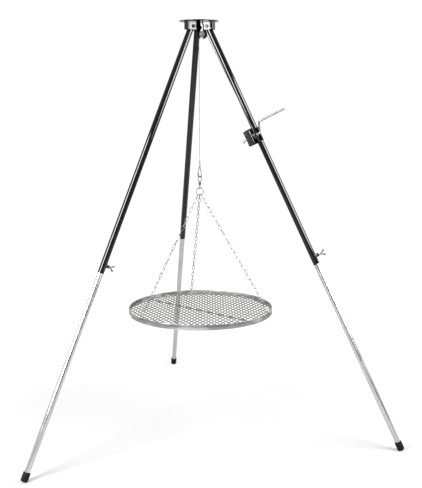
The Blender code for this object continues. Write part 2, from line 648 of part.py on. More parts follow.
def make_grate(grate):
    """Rim band with its hook holes, mesh, and the stiffening bar beneath the mesh."""
    profile = ring_profile(GRATE_R - RIM_T, GRATE_R, RIM_TOP - RIM_HEIGHT, RIM_TOP)
    rim = turned("grate_rim", profile, STAINLESS, grate, sides=64)
    for side, azimuth in LEG_AZIMUTHS.items():
        cut(rim, make_chain(side, azimuth, grate))
    make_mesh_plate(grate)
    half = GRATE_R - RIM_T - 0.0008
    low = MESH_TOP - MESH_T - GAP - BAR_R
    ends = Vector((half * cos(BAR_AZIMUTH), half * sin(BAR_AZIMUTH), 0))
    lift = Vector((0, 0, low))
    rod("grate_cross_bar", lift - ends, lift + ends, BAR_R, STAINLESS, grate, sides=12)


# ---------------------------------------------------------------- the whole object
def make_tripod_grate():
    make_head_plate()
    for side, azimuth in LEG_AZIMUTHS.items():
        make_leg_bracket(side, azimuth)
        make_leg(side, azimuth)
    make_pulley()
    make_winch()
    make_hanging_gear()


make_tripod_grate()
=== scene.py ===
from math import asin, atan2, cos, hypot, pi, radians, sin, sqrt, tan
from random import Random

import bpy
from mathutils import Matrix, Vector


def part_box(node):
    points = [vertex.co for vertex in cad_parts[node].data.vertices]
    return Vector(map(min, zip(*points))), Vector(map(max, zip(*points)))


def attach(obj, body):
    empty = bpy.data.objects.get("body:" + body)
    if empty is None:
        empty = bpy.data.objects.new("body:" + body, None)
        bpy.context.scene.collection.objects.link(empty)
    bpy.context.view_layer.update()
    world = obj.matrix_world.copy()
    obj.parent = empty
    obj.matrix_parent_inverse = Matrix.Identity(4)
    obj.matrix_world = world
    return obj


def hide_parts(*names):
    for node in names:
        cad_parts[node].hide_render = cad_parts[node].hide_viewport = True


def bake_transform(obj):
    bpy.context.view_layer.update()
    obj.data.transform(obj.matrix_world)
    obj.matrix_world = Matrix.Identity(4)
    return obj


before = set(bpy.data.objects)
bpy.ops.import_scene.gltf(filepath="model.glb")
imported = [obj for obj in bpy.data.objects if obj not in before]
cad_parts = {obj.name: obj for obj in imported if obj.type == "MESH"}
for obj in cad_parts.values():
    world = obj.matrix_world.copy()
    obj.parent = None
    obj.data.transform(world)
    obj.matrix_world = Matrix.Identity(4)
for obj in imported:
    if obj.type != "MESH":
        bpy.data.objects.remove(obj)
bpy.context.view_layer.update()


# ---------------------------------------------------------------- the frame's dimensions
GAP = 0.0003
LEAN = radians(26.0)
AZIMUTHS = {"rear": radians(90), "left": radians(210), "right": radians(330)}
PLATE_LOW, PLATE_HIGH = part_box("head_plate")
AXIS = Vector(((PLATE_LOW.x + PLATE_HIGH.x) / 2, (PLATE_LOW.y + PLATE_HIGH.y) / 2, 0))
PIVOT_R, PIVOT_Z = 0.038, 1.660
BRACKET_IN, BRACKET_OUT, BRACKET_T, BRACKET_HALF = 0.0265, 0.0645, 0.002, 0.0131
BRACKET_LOW, BRACKET_TOP = 1.647, PLATE_LOW.z - GAP
BOLT_R, BOLT_HEAD_R = 0.004, 0.0072
UPPER_R, UPPER_BORE, UPPER_TOP, UPPER_END = 0.0125, 0.0114, 0.015, -1.0325
LOWER_R, LOWER_BORE, LOWER_TOP = 0.011, 0.0097, -0.835
FOOT_R, FOOT_LENGTH, FOOT_FLOOR, SOLE_CUT = 0.014, 0.035, 0.006, 0.0025
FOOT_END = -(PIVOT_Z - FOOT_R * sin(LEAN) + SOLE_CUT) / cos(LEAN)
BOSS_R, BOSS_OUT, BOSS_Z = 0.007, 0.0245, UPPER_END + 0.033
SCREW_R, SCREW_OUT = 0.0028, 0.0505
BOSS_SIDES = {"rear": 1, "left": -1, "right": 1}
PULLEY_X, PULLEY_Z = 0.015, 1.630
ROPE_R, ROPE_TWIST, WRAP_R = 0.00125, 520, 0.015
CHEEK_IN, CHEEK_T, CHEEK_R = 0.005, 0.002, 0.018
WINCH_DOWN, SHAFT_Y, SHAFT_R, WEB_Y = 0.471, -0.034, 0.004, -0.0146
WINCH_LOW, WINCH_HIGH = -0.0305, 0.035
WINDING_R = 0.01385
RING_R, RING_WIRE, RING_Z = 0.01475, 0.00175, 1.005
GRATE_R, RIM_T, RIM_TOP, RIM_LOW = 0.300, 0.002, 0.522, 0.500
MESH_TOP, MESH_T = 0.5078, 0.0024
MESH_ACROSS, MESH_DEEP, MESH_TURN = 0.0227, 0.0417, radians(-10.5)
CHAIN_TURN = radians(-2.0)
BAR_R, BAR_AZIMUTH = 0.0024, radians(-52.0)
HOOK_R, HOOK_WIRE, HOOK_HOLE_Z = 0.008, 0.0015, 0.513
SIDES = 64


# ---------------------------------------------------------------- camera, floor and light
def camera():
    """Eye level a little below the head, looking down by ten degrees."""
    at, facing = Vector((-0.5814, -3.5771, 1.386)), radians(79.45)
    down, roll = radians(-9.96), radians(-0.21)
    ahead = Vector((cos(down) * cos(facing), cos(down) * sin(facing), sin(down)))
    right = Vector((sin(facing), -cos(facing), 0))
    up = right.cross(ahead)
    right, up = right * cos(roll) + up * sin(roll), up * cos(roll) - right * sin(roll)
    data = bpy.data.cameras.new("camera")
    data.lens, data.sensor_width, data.clip_end = 61.8, 36, 200
    made = placed("camera", data)
    made.matrix_world = Matrix((
        (right.x, up.x, -ahead.x, at.x), (right.y, up.y, -ahead.y, at.y),
        (right.z, up.z, -ahead.z, at.z), (0, 0, 0, 1)))
    bpy.context.scene.camera = made


def softbox(name, azimuth, distance, height, width, tall, power):
    """A large soft light at an azimuth round the object, turned towards its middle."""
    data = bpy.data.lights.new(name, "AREA")
    data.shape, data.size, data.size_y, data.energy = "RECTANGLE", width, tall, power
    made = placed(name, data)
    made.location = AXIS + Vector((distance * cos(azimuth), distance * sin(azimuth), height))
    aim = AXIS + Vector((0, 0, 0.9)) - made.location
    made.rotation_euler = aim.to_track_quat("-Z", "Y").to_euler()
    made.visible_camera = False


def ranged(tree, value, start, end, low, high, way="LINEAR"):
    """A value brought from one range into another, in any node tree."""
    node = tree.nodes.new("ShaderNodeMapRange")
    node.interpolation_type = way
    for label, number in (("From Min", start), ("From Max", end), ("To Min", low),
                          ("To Max", high)):
        node.inputs[label].default_value = number
    tree.links.new(value, node.inputs["Value"])
    return node.outputs["Result"]


def joined(tree, operation, first, second):
    """Two values joined by a math operation."""
    node = tree.nodes.new("ShaderNodeMath")
    node.operation = operation
    tree.links.new(first, node.inputs[0])
    tree.links.new(second, node.inputs[1])
    return node.outputs[0]


def backdrop(tree, northward, less=0.0):
    """The backdrop's brightness: white behind the object and pale grey in front of it."""
    return ranged(tree, northward, -0.6, 0.3, 0.58 - less, 1.02 - less)


def studio():
    """Two softboxes in front of the object, in a room that is brighter behind it."""
    softbox("softbox_right", radians(-36), 2.1, 2.0, 1.45, 1.8, 140)
    softbox("softbox_left", radians(-144), 2.1, 1.65, 0.75, 1.8, 118)
    bpy.context.scene.view_settings.view_transform = "Standard"

    world = bpy.data.worlds.new("studio")
    bpy.context.scene.world = world
    world.use_nodes = True
    nodes, links = world.node_tree.nodes, world.node_tree.links
    nodes.clear()
    place = nodes.new("ShaderNodeTexCoord")
    split = nodes.new("ShaderNodeSeparateXYZ")
    links.new(place.outputs["Generated"], split.inputs[0])
    seen = nodes.new("ShaderNodeLightPath")
    room, white = nodes.new("ShaderNodeBackground"), nodes.new("ShaderNodeBackground")
    links.new(ranged(world.node_tree, split.outputs["Y"], -0.8, 0.6, 0.20, 0.80),
              room.inputs["Strength"])
    links.new(backdrop(world.node_tree, split.outputs["Y"]), white.inputs["Strength"])
    for shade in (room, white):
        shade.inputs["Color"].default_value = (1, 1, 1, 1)
    pick, out = nodes.new("ShaderNodeMixShader"), nodes.new("ShaderNodeOutputWorld")
    links.new(seen.outputs["Is Camera Ray"], pick.inputs["Fac"])
    links.new(room.outputs[0], pick.inputs[1])
    links.new(white.outputs[0], pick.inputs[2])
    links.new(pick.outputs[0], out.inputs["Surface"])


def floor():
    """A white studio floor that fades into the white surroundings."""
    reach = 40.0
    mesh = bpy.data.meshes.new("floor")
    mesh.from_pydata([(-reach, -reach, 0), (reach, -reach, 0), (reach, reach, 0),
                      (-reach, reach, 0)], [], [(0, 1, 2, 3)])
    made = placed("floor", mesh)
    look = bpy.data.materials.new("studio_floor")
    look.use_nodes = True
    nodes, links = look.node_tree.nodes, look.node_tree.links
    shader = nodes["Principled BSDF"]
    shader.inputs["Base Color"].default_value = (0.28, 0.28, 0.28, 1)
    shader.inputs["Roughness"].default_value = 0.9
    shader.inputs["Emission Color"].default_value = (1, 1, 1, 1)
    place = nodes.new("ShaderNodeTexCoord")
    split = nodes.new("ShaderNodeSeparateXYZ")
    links.new(place.outputs["Object"], split.inputs[0])
    length = nodes.new("ShaderNodeVectorMath")
    length.operation = "LENGTH"
    links.new(place.outputs["Object"], length.inputs[0])

    tree, away = look.node_tree, length.outputs["Value"]
    own_light = 0.17
    fill = ranged(tree, split.outputs["Y"], -0.7, 1.0, 0.22, 0.64)
    far = backdrop(tree, joined(tree, "DIVIDE", split.outputs["Y"], away), own_light)
    share = ranged(tree, away, 0.8, 1.9, 0, 1)
    more = joined(tree, "MULTIPLY", joined(tree, "SUBTRACT", far, fill), share)
    seen = nodes.new("ShaderNodeLightPath")
    kept = ranged(tree, seen.outputs["Is Camera Ray"], 0, 1, 0.45, 1)
    glow = joined(tree, "MULTIPLY", joined(tree, "ADD", fill, more), kept)
    links.new(glow, shader.inputs["Emission Strength"])
    mesh.materials.append(look)


# ---------------------------------------------------------------- finishes
class Look:
    """A finish built from the surface's own position, so that it stays on a moving piece."""

    def __init__(self, name, slot, metallic, specular):
        self.material, self.slot = bpy.data.materials.new(name), slot
        self.material.use_nodes = True
        self.nodes, self.links = self.material.node_tree.nodes, self.material.node_tree.links
        self.shader = self.nodes["Principled BSDF"]
        self.shader.inputs["Metallic"].default_value = metallic
        self.shader.inputs["Specular IOR Level"].default_value = specular
        self.place = self.nodes.new("ShaderNodeTexCoord")

    def noise(self, scale, detail, shift=0.0, stretch=(1, 1, 1)):
        """Noise over the piece; stretch squeezes it along X, Y and Z."""
        mapping = self.nodes.new("ShaderNodeMapping")
        mapping.inputs["Scale"].default_value = stretch
        mapping.inputs["Location"].default_value = (shift, shift, shift)
        noise = self.nodes.new("ShaderNodeTexNoise")
        noise.inputs["Scale"].default_value = scale
        noise.inputs["Detail"].default_value = detail
        self.links.new(self.place.outputs["Object"], mapping.inputs["Vector"])
        self.links.new(mapping.outputs["Vector"], noise.inputs["Vector"])
        return noise.outputs["Fac"]

    def ranged(self, value, low, high, start=0.3, end=0.7):
        """The value brought into a range, with soft ends."""
        return ranged(self.material.node_tree, value, start, end, low, high, "SMOOTHSTEP")

    def ramp(self, value, stops):
        """A colour for each value, from (position, colour) stops."""
        node = self.nodes.new("ShaderNodeValToRGB")
        elements = node.color_ramp.elements
        for element, (at, colour) in zip(elements, (stops[0], stops[-1])):
            element.position, element.color = at, (*colour, 1)
        for at, colour in stops[1:-1]:
            elements.new(at).color = (*colour, 1)
        self.links.new(value, node.inputs["Fac"])
        return node.outputs["Color"]

    def mix(self, factor, first, plain_colour):
        """A colour mixed with a plain one."""
        node = self.nodes.new("ShaderNodeMix")
        node.data_type = "RGBA"
        self.links.new(factor, node.inputs[0])
        self.links.new(first, node.inputs[6])
        node.inputs[7].default_value = (*plain_colour, 1)
        return node.outputs[2]

    def bump(self, layers):
        """Heights in metres, one over another."""
        before = None
        for value, depth in layers:
            node = self.nodes.new("ShaderNodeBump")
            node.inputs["Strength"].default_value = 1.0
            node.inputs["Distance"].default_value = depth
            self.links.new(value, node.inputs["Height"])
            if before is not None:
                self.links.new(before, node.inputs["Normal"])
            before = node.outputs["Normal"]
        self.links.new(before, self.shader.inputs["Normal"])


def finish(name, slot, metallic, tone, stops, gloss, relief=0.0, grain=(), stain=None,
           specular=0.5):
    """Tones and relief from one noise, stains and grain from others, and an uneven gloss.

    A noise is (scale, detail, shift, stretch), gloss is (noise, lowest, highest roughness),
    grain is (noise, height) pairs and stain is (noise, strength, start, end, colour).
    """
    look = Look(name, slot, metallic, specular)
    pattern = look.noise(*tone)
    colour = look.ramp(pattern, stops)
    if stain:
        where, strength, start, end, shade = stain
        share = look.ranged(look.noise(*where), 0, strength, start, end)
        colour = look.mix(share, colour, shade)
    heights = [(pattern, relief)] if relief else []
    look.bump(heights + [(look.noise(*fine), height) for fine, height in grain])
    where, smooth, rough = gloss
    look.links.new(colour, look.shader.inputs["Base Color"])
    look.links.new(look.ranged(look.noise(*where), smooth, rough),
                   look.shader.inputs["Roughness"])
    return look


def plate_black():
    """The head plate's coat: gloss on the underside and edge, worn matt on top."""
    look = finish("plate_black", "black_lacquer", 0.0, (55, 4, 4),
                  [(0.35, (0.0014, 0.0014, 0.0015)), (0.7, (0.0036, 0.0036, 0.0038))],
                  ((18, 5, 7), 0.06, 0.16), grain=[((420, 2), 0.000012)], specular=0.42)
    facing = look.nodes.new("ShaderNodeSeparateXYZ")
    look.links.new(look.place.outputs["Normal"], facing.inputs[0])
    upward = look.ranged(facing.outputs["Z"], 0, 1, 0.3, 0.8)
    roughness = look.shader.inputs["Roughness"]
    worn = look.mix(upward, roughness.links[0].from_socket, (0.85, 0.85, 0.85))
    look.links.new(worn, roughness)
    return look


def brushed_rim():
    """Stainless band brushed along its length, so the grain is fine in height only."""
    look = finish("brushed_rim", "stainless", 1.0, (1, 3, 0, (14, 14, 2600)),
                  [(0.3, (0.58, 0.576, 0.57)), (0.7, (0.78, 0.775, 0.77))],
                  ((22, 4, 0, (1, 1, 9)), 0.26, 0.42), 0.00004,
                  stain=((9, 3, 6, (1, 1, 4)), 1, 0.42, 0.6, (0.36, 0.356, 0.352)))
    around = look.nodes.new("ShaderNodeTangent")
    around.direction_type, around.axis = "RADIAL", "Z"
    look.links.new(around.outputs["Tangent"], look.shader.inputs["Tangent"])
    look.shader.inputs["Anisotropic"].default_value = 0.75
    return look


# Gloss black lacquer with a faint orange peel, haze and dust.
LACQUER = finish("black_lacquer", "black_lacquer", 0.0, (26, 4),
                 [(0.35, (0.0012, 0.0012, 0.0014)), (0.65, (0.0024, 0.0024, 0.0027))],
                 ((18, 5, 7), 0.05, 0.12), grain=[((420, 2), 0.000006), ((60, 1, 3), 0.00001)],
                 stain=((1400, 1), 0.3, 0.72, 0.80, (0.05, 0.048, 0.045)), specular=0.48)
# Fine-textured black powder coat on the winch, duller than the lacquer.
SATIN = finish("satin_black", "black_lacquer", 0.0, (40, 4, 2),
               [(0.35, (0.0012, 0.0012, 0.0013)), (0.7, (0.0032, 0.0032, 0.0034))],
               ((60, 4, 6), 0.36, 0.52), grain=[((1500, 2), 0.00002), ((90, 2, 3), 0.00002)],
               specular=0.12)
PLATE, RIM = plate_black(), brushed_rim()
# Bright zinc on drawn tube: streaks run along the tube's own Z.
TUBE = finish("drawn_zinc", "zinc_plated", 1.0, (420, 4, 0, (1, 1, 0.02)),
              [(0.3, (0.58, 0.585, 0.592)), (0.7, (0.76, 0.76, 0.76))],
              ((60, 5, 0, (1, 1, 0.2)), 0.18, 0.32), 0.00003, [((900, 2), 0.00001)],
              ((30, 4, 5, (1, 1, 0.35)), 0.55, 0.3, 0.7, (0.54, 0.545, 0.555)))
# Satin zinc plating on small parts, mottled and slightly pitted.
ZINC = finish("plated_zinc", "zinc_plated", 1.0, (260, 5),
              [(0.3, (0.17, 0.172, 0.175)), (0.7, (0.28, 0.28, 0.28))],
              ((120, 4, 4), 0.24, 0.42), 0.00005, [((2200, 2), 0.00001)],
              ((1500, 2, 2), 0.6, 0.62, 0.75, (0.11, 0.11, 0.112)))
# Older, darker zinc on the cast and forged fittings.
DULL = finish("dull_zinc", "zinc_plated", 1.0, (340, 5, 9),
              [(0.3, (0.085, 0.086, 0.088)), (0.7, (0.17, 0.17, 0.17))],
              ((150, 4, 6), 0.30, 0.48), 0.00004, [((2400, 2, 1), 0.00001)],
              ((1700, 2), 0.5, 0.6, 0.75, (0.05, 0.05, 0.051)))
# Zinc of the pulley wheel and washer, painted dark as the shade under the head plate, dull and
# slightly worn.
SHADOW = finish("painted_shade_zinc", "zinc_plated", 0.9, (480, 4, 4),
                [(0.35, (0.016, 0.016, 0.016)), (0.75, (0.050, 0.049, 0.048))],
                ((200, 3, 8), 0.34, 0.52), 0.00003)
# Plated steel bar, a little duller, with handling marks.
CRANK = finish("crank_steel", "zinc_plated", 1.0, (300, 5, 0, (0.25, 1, 1)),
               [(0.3, (0.19, 0.192, 0.195)), (0.7, (0.29, 0.29, 0.29))],
               ((90, 4, 1), 0.42, 0.60), 0.00003)
# Wire rope on the spool and on its run from the pulley, darker than the hanging rope; on the
# spool the dark colour paints the shade inside the winch bracket.
WOUND = finish("darker_wire", "wire_rope", 0.9, (1500, 3, 3),
               [(0.3, (0.07, 0.069, 0.066)), (0.7, (0.17, 0.168, 0.162))],
               ((400, 2), 0.30, 0.50), 0.00005)
# Galvanised wire, with fine fibres along the strands.
WIRE = finish("rope_wire", "wire_rope", 1.0, (1600, 3),
              [(0.3, (0.16, 0.16, 0.162)), (0.7, (0.28, 0.28, 0.28))],
              ((500, 2, 2), 0.46, 0.62), 0.00005)
# Stainless expanded metal: dull rolled faces with shear marks.
MESH = finish("rolled_mesh", "stainless", 1.0, (380, 4),
              [(0.3, (0.17, 0.168, 0.164)), (0.7, (0.28, 0.277, 0.27))],
              ((150, 3, 2), 0.42, 0.58), 0.00006,
              stain=((7, 2, 8), 0.5, 0.3, 0.7, (0.30, 0.278, 0.258)))
# Stainless weld spots with heat colours.
TINT = finish("weld_tint", "stainless", 1.0, (160, 3),
              [(0.3, (0.20, 0.17, 0.14)), (0.5, (0.38, 0.34, 0.30)),
               (0.7, (0.26, 0.28, 0.34))], ((300, 2), 0.30, 0.50),
              grain=[((700, 3), 0.00008)])
# Blackened fasteners with a slight sheen.
DARK = finish("dark_steel", "dark_fasteners", 0.85, (700, 4),
              [(0.35, (0.022, 0.022, 0.023)), (0.7, (0.075, 0.0745, 0.074))],
              ((400, 3, 3), 0.36, 0.52), grain=[((1800, 2), 0.00001)])
# Matt rubber with a fine moulded grain and a light bloom.
RUBBER = finish("black_rubber", "black_rubber", 0.0, (70, 4),
                [(0.35, (0.0016, 0.0016, 0.0016)), (0.7, (0.0045, 0.0045, 0.0044))],
                ((110, 3, 5), 0.52, 0.72), grain=[((1300, 3), 0.00006)], specular=0.18)


# ---------------------------------------------------------------- shapes: (points, faces)
def moved(shape, matrix):
    points, faces = shape
    return [matrix @ Vector(p) for p in points], faces


def shift(x=0.0, y=0.0, z=0.0):
    return Matrix.Translation((x, y, z))


def spin(degrees, axis):
    return Matrix.Rotation(radians(degrees), 4, axis)


def merged(*shapes):
    """Several shapes as one."""
    points, faces = [], []
    for more_points, more_faces in shapes:
        base = len(points)
        points += list(more_points)
        faces += [tuple(i + base for i in face) for face in more_faces]
    return points, faces


def mesh_of(name, shape):
    mesh = bpy.data.meshes.new(name)
    mesh.from_pydata([tuple(p) for p in shape[0]], [], shape[1])
    mesh.validate()
    return mesh


def evaluated(made):
    """The shape of an object with its modifiers, which is then removed."""
    bpy.context.view_layer.update()
    graph = bpy.context.evaluated_depsgraph_get()
    mesh = bpy.data.meshes.new_from_object(made.evaluated_get(graph))
    shape = ([v.co.copy() for v in mesh.vertices], [tuple(f.vertices) for f in mesh.polygons])
    bpy.data.objects.remove(made, do_unlink=True)
    bpy.data.meshes.remove(mesh)
    return shape


def placed(name, data):
    made = bpy.data.objects.new(name, data)
    bpy.context.scene.collection.objects.link(made)
    return made


def combined(shape, others, operation):
    """Boolean of a shape with others."""
    base = placed("base", mesh_of("base", shape))
    tools = [placed("tool", mesh_of("tool", other)) for other in others]
    for tool in tools:
        step = base.modifiers.new("step", "BOOLEAN")
        step.operation, step.solver, step.object = operation, "EXACT", tool
    result = evaluated(base)
    for tool in tools:
        bpy.data.objects.remove(tool, do_unlink=True)
    return result


def cut(shape, *others):
    return combined(shape, others, "DIFFERENCE")


def united(shape, *others):
    return combined(shape, others, "UNION")


def lathe(profile, sides=SIDES):
    """A (radius, height) profile turned about Z; a profile clear of the axis is a ring."""
    points, faces, rings = [], [], []
    for r, z in profile:
        if r < 1e-7:
            rings.append([len(points)])
            points.append(Vector((0, 0, z)))
        else:
            rings.append(list(range(len(points), len(points) + sides)))
            points += [Vector((r * cos(2 * pi * i / sides), r * sin(2 * pi * i / sides), z))
                       for i in range(sides)]
    pairs = list(zip(rings, rings[1:]))
    if all(len(ring) > 1 for ring in rings):
        pairs.append((rings[-1], rings[0]))
    for a, b in pairs:
        for i in range(sides):
            j = (i + 1) % sides
            if len(a) == 1:
                faces.append((a[0], b[j], b[i]))
            elif len(b) == 1:
                faces.append((a[i], a[j], b[0]))
            else:
                faces.append((a[i], a[j], b[j], b[i]))
    return outward((points, faces))


def outward(shape):
    """The shape with its faces turned outwards."""
    points, faces = shape
    volume = 0.0
    for face in faces:
        first = points[face[0]]
        for b, c in zip(face[1:], face[2:]):
            volume += first.dot(points[b].cross(points[c]))
    return shape if volume > 0 else (points, [tuple(reversed(face)) for face in faces])


def rounded(corners, radius, steps=4, closed=False):
    """Points with an arc at each corner; radius is one number or one for each corner."""
    spots = [Vector(p) for p in corners]
    count = len(spots)
    radii = radius if isinstance(radius, (list, tuple)) else [radius] * count
    out = []
    for i, spot in enumerate(spots):
        if radii[i] <= 0 or (not closed and i in (0, count - 1)):
            out.append(spot)
            continue
        before = (spots[i - 1] - spot).normalized()
        after = (spots[(i + 1) % count] - spot).normalized()
        angle = before.angle(after)
        centre = spot + (before + after).normalized() * (radii[i] / sin(angle / 2))
        reach, turn = radii[i] / tan(angle / 2), pi - angle
        start, end = spot + before * reach - centre, spot + after * reach - centre
        for k in range(steps + 1):
            t = k / steps
            arm = (start * sin((1 - t) * turn) + end * sin(t * turn)) / sin(turn)
            out.append(centre + arm)
    return out


def tube(inner, outer, low, high, edge=0.00035, sides=SIDES):
    """A tube or ring about Z with broken edges."""
    return lathe(rounded([(outer, high), (outer, low), (inner, low), (inner, high)], edge, 3,
                         closed=True), sides)


def arc(centre, radius, start, end, count):
    """Points on a circle in a plane, both ends included; angles in radians."""
    steps = [start + (end - start) * i / count for i in range(count + 1)]
    return [(centre[0] + radius * cos(a), centre[1] + radius * sin(a)) for a in steps]


def circle(radius, sides=16):
    return [(radius * cos(2 * pi * i / sides), radius * sin(2 * pi * i / sides))
            for i in range(sides)]


def strands(radius, count=6, each=4):
    """A rope's section: one lobe for each strand."""
    total = count * each
    lobes = [radius * (0.80 + 0.20 * abs(cos(pi * i / each)) ** 0.7) for i in range(total)]
    return [(r * cos(2 * pi * i / total), r * sin(2 * pi * i / total))
            for i, r in enumerate(lobes)]


def sheet(thickness, low, high, edge=0.0003):
    """A sheet metal section: thickness across, from height low to high, edges broken."""
    t = thickness / 2
    return [(-t + edge, low), (t - edge, low), (t, low + edge), (t, high - edge),
            (t - edge, high), (-t + edge, high), (-t, high - edge), (-t, low + edge)]


def skinned(rings, closed=False):
    """Rings of points joined by faces, capped at both ends unless the rings close."""
    count, sides, faces = len(rings), len(rings[0]), []
    for i in range(count if closed else count - 1):
        a, b = i * sides, (i + 1) % count * sides
        for k in range(sides):
            m = (k + 1) % sides
            faces.append((a + k, a + m, b + m, b + k))
    if not closed:
        faces.append(tuple(range(sides))[::-1])
        faces.append(tuple(range((count - 1) * sides, count * sides)))
    return outward(([point for ring in rings for point in ring], faces))


def sweep(path, section, up=(0, 0, 1), closed=False, twist=0.0, sizes=None):
    """A section (across, up) carried along a path; twist is in radians a metre."""
    path, up = [Vector(p) for p in path], Vector(up)
    count, rings, run = len(path), [], 0.0
    for i, spot in enumerate(path):
        back = path[i - 1] if i or closed else spot
        ahead = path[(i + 1) % count] if i < count - 1 or closed else spot
        along = (ahead - back).normalized()
        across = along.cross(up).normalized()
        rise = across.cross(along)
        if i:
            run += (spot - path[i - 1]).length
        c, s = cos(twist * run), sin(twist * run)
        size = sizes[i] if sizes else 1.0
        rings.append([spot + across * (size * (u * c - v * s)) + rise * (size * (u * s + v * c))
                      for u, v in section])
    return skinned(rings, closed)


def rope(path, closed=False, twist=ROPE_TWIST):
    """The laid wire rope along a path in the XZ plane."""
    return sweep(path, strands(ROPE_R), (0, 1, 0), closed, twist)


def nosed(path, radius, cap, body):
    """A bar's spots and sizes, its ends shaped by a cap of (depth, size) steps."""
    first, last = (path[1] - path[0]).normalized(), (path[-2] - path[-1]).normalized()
    head = [path[0] + first * (radius * depth) for depth, _ in cap]
    tail = [path[-1] + last * (radius * depth) for depth, _ in reversed(cap)]
    sizes = [size for _, size in cap]
    return head + body + tail, sizes + [1.0] * len(body) + sizes[::-1]


def bar(path, radius, up=(0, 0, 1), sides=20, nose=0.35):
    """A round bar along an open path, with rounded ends."""
    path = [Vector(p) for p in path]
    cap = [(0.0, 1 - nose), (0.12 * nose, 1 - 0.42 * nose), (0.45 * nose, 1 - 0.12 * nose),
           (nose, 1.0)]
    clear = radius * (nose + 0.1)
    body = [p for p in path[1:-1] if min((p - path[0]).length, (p - path[-1]).length) > clear]
    spots, sizes = nosed(path, radius, cap, body)
    return sweep(spots, circle(radius, sides), up, sizes=sizes)


def twisted_bar(path, radius, up, sides=24):
    """A round bar whose path leaves one plane: the section is carried along without a jump."""
    path = [Vector(p) for p in path]
    cap = [(0.0, 0.62), (0.10, 0.86), (0.28, 0.97), (0.5, 1.0)]
    spots, sizes = nosed(path, radius, cap, path[1:-1])
    rise, rings = Vector(up).normalized(), []
    for i, spot in enumerate(spots):
        along = (spots[min(i + 1, len(spots) - 1)] - spots[max(i - 1, 0)]).normalized()
        rise = (rise - along * rise.dot(along)).normalized()
        across = along.cross(rise)
        rings.append([spot + across * u + rise * v for u, v in circle(radius * sizes[i], sides)])
    return skinned(rings)


def plate(outlines, thickness, edge=0.0003):
    """A flat plate about z = 0: the first outline, less the holes after it, edges rounded."""
    curve = bpy.data.curves.new("plate", "CURVE")
    curve.dimensions, curve.fill_mode = "2D", "BOTH"
    curve.extrude, curve.bevel_depth = thickness / 2 - edge, edge
    curve.bevel_resolution, curve.offset = 1, -edge
    for outline in outlines:
        line = curve.splines.new("POLY")
        line.points.add(len(outline) - 1)
        for spot, point in zip(line.points, outline):
            spot.co = (point[0], point[1], 0, 1)
        line.use_cyclic_u = True
    made = placed("plate", curve)
    weld = made.modifiers.new("weld", "WELD")
    weld.merge_threshold = 0.000002
    return evaluated(made)


def rod(start, end, radius, sides=32):
    """A plain round bar, used as a cutter or a core."""
    start, end = Vector(start), Vector(end)
    turn = (end - start).to_track_quat("Z", "Y").to_matrix().to_4x4()
    length = (end - start).length
    return moved(lathe([(0, 0), (radius, 0), (radius, length), (0, length)], sides),
                 Matrix.Translation(start) @ turn)


def block(low, high, edge=0.0, steps=3):
    """A box between two corners with rounded vertical edges, and broken top and bottom."""
    low, high, half = Vector(low), Vector(high), edge / 2

    def outline(inset, radius):
        x0, y0, x1, y1 = low.x + inset, low.y + inset, high.x - inset, high.y - inset
        return rounded([(x0, y0), (x1, y0), (x1, y1), (x0, y1)], radius, steps, closed=True)

    outer, inner = outline(0, edge), outline(half, half)
    levels = [(inner, low.z), (outer, low.z + half), (outer, high.z - half), (inner, high.z)]
    return skinned([[Vector((p[0], p[1], z)) for p in ring] for ring, z in levels])


def thread(radius, low, high, pitch=0.0008, depth=0.0003):
    """Profile points of a thread, from height high down to low."""
    turns = max(1, int((high - low) / pitch))
    out = []
    for i in range(turns):
        top = high - i * pitch
        out += [(radius, top), (radius - depth, top - pitch / 2)]
    return out + [(radius, high - turns * pitch)]


def hex_head(corner, height, dome=0.12):
    """A hexagon from z = 0 up, chamfered on top."""
    hexagon = lathe([(0, 0), (corner, 0), (corner, height), (0, height)], 6)
    face = corner * 0.87
    turned = lathe([(0, 0), (corner * 1.02, 0), (corner * 1.02, height * 0.78),
                    (face * (1 - dome / 2), height), (0, height)], 36)
    return combined(hexagon, [turned], "INTERSECT")


def bolt(corner, height, shank, length, threaded=0.007):
    """A hexagon bolt with its head's bearing face at z = 0 and its shank down -Z."""
    tip = 0.0006
    profile = [(0, height / 2), (shank, height / 2)]
    profile += thread(shank, -length + tip, min(0, -length + threaded))
    profile += [(shank - tip, -length), (0, -length)]
    return united(hex_head(corner, height), lathe(profile, 24))


def nut(corner, height, bore):
    """A hexagon nut from z = 0 up, chamfered on both faces."""
    half = hex_head(corner, height / 2)
    other = moved(hex_head(corner, height / 2), spin(180, "X"))
    whole = united(moved(half, shift(z=height / 2)), moved(other, shift(z=height / 2)))
    return cut(whole, rod((0, 0, -0.01), (0, 0, 0.03), bore, 24))


def weld_bead(path, radius, seed, up=(0, 0, 1), closed=False, ripple=0.0022):
    """A hand-laid weld: a bead with ripples and uneven width."""
    chance = Random(seed)
    path = [Vector(p) for p in path]
    dense = []
    pairs = list(zip(path, path[1:])) + ([(path[-1], path[0])] if closed else [])
    for a, b in pairs:
        steps = max(1, round((b - a).length / (ripple / 4)))
        dense += [a + (b - a) * (k / steps) for k in range(steps)]
    if not closed:
        dense.append(path[-1])
    sizes = []
    for i in range(len(dense)):
        sizes.append(0.86 + 0.14 * abs(sin(i * pi / 4)) + chance.uniform(-0.06, 0.06))
    if not closed:
        sizes[0] = sizes[-1] = 0.45
    return sweep(dense, circle(radius, 10), up, closed, sizes=sizes)


# ---------------------------------------------------------------- pieces
def piece(name, shape, look, body, home=None, replaces=(), smooth=35):
    """A visible piece that rides on a body and stands for CAD nodes."""
    made = placed(name, mesh_of(name, shape))
    made.data.materials.append(look.material)
    made.data.shade_smooth()
    made.data.set_sharp_from_angle(angle=radians(smooth))
    if home is not None:
        made.matrix_world = home
    if body is not None:
        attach(made, body)
    if replaces:
        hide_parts(*replaces)
    return made


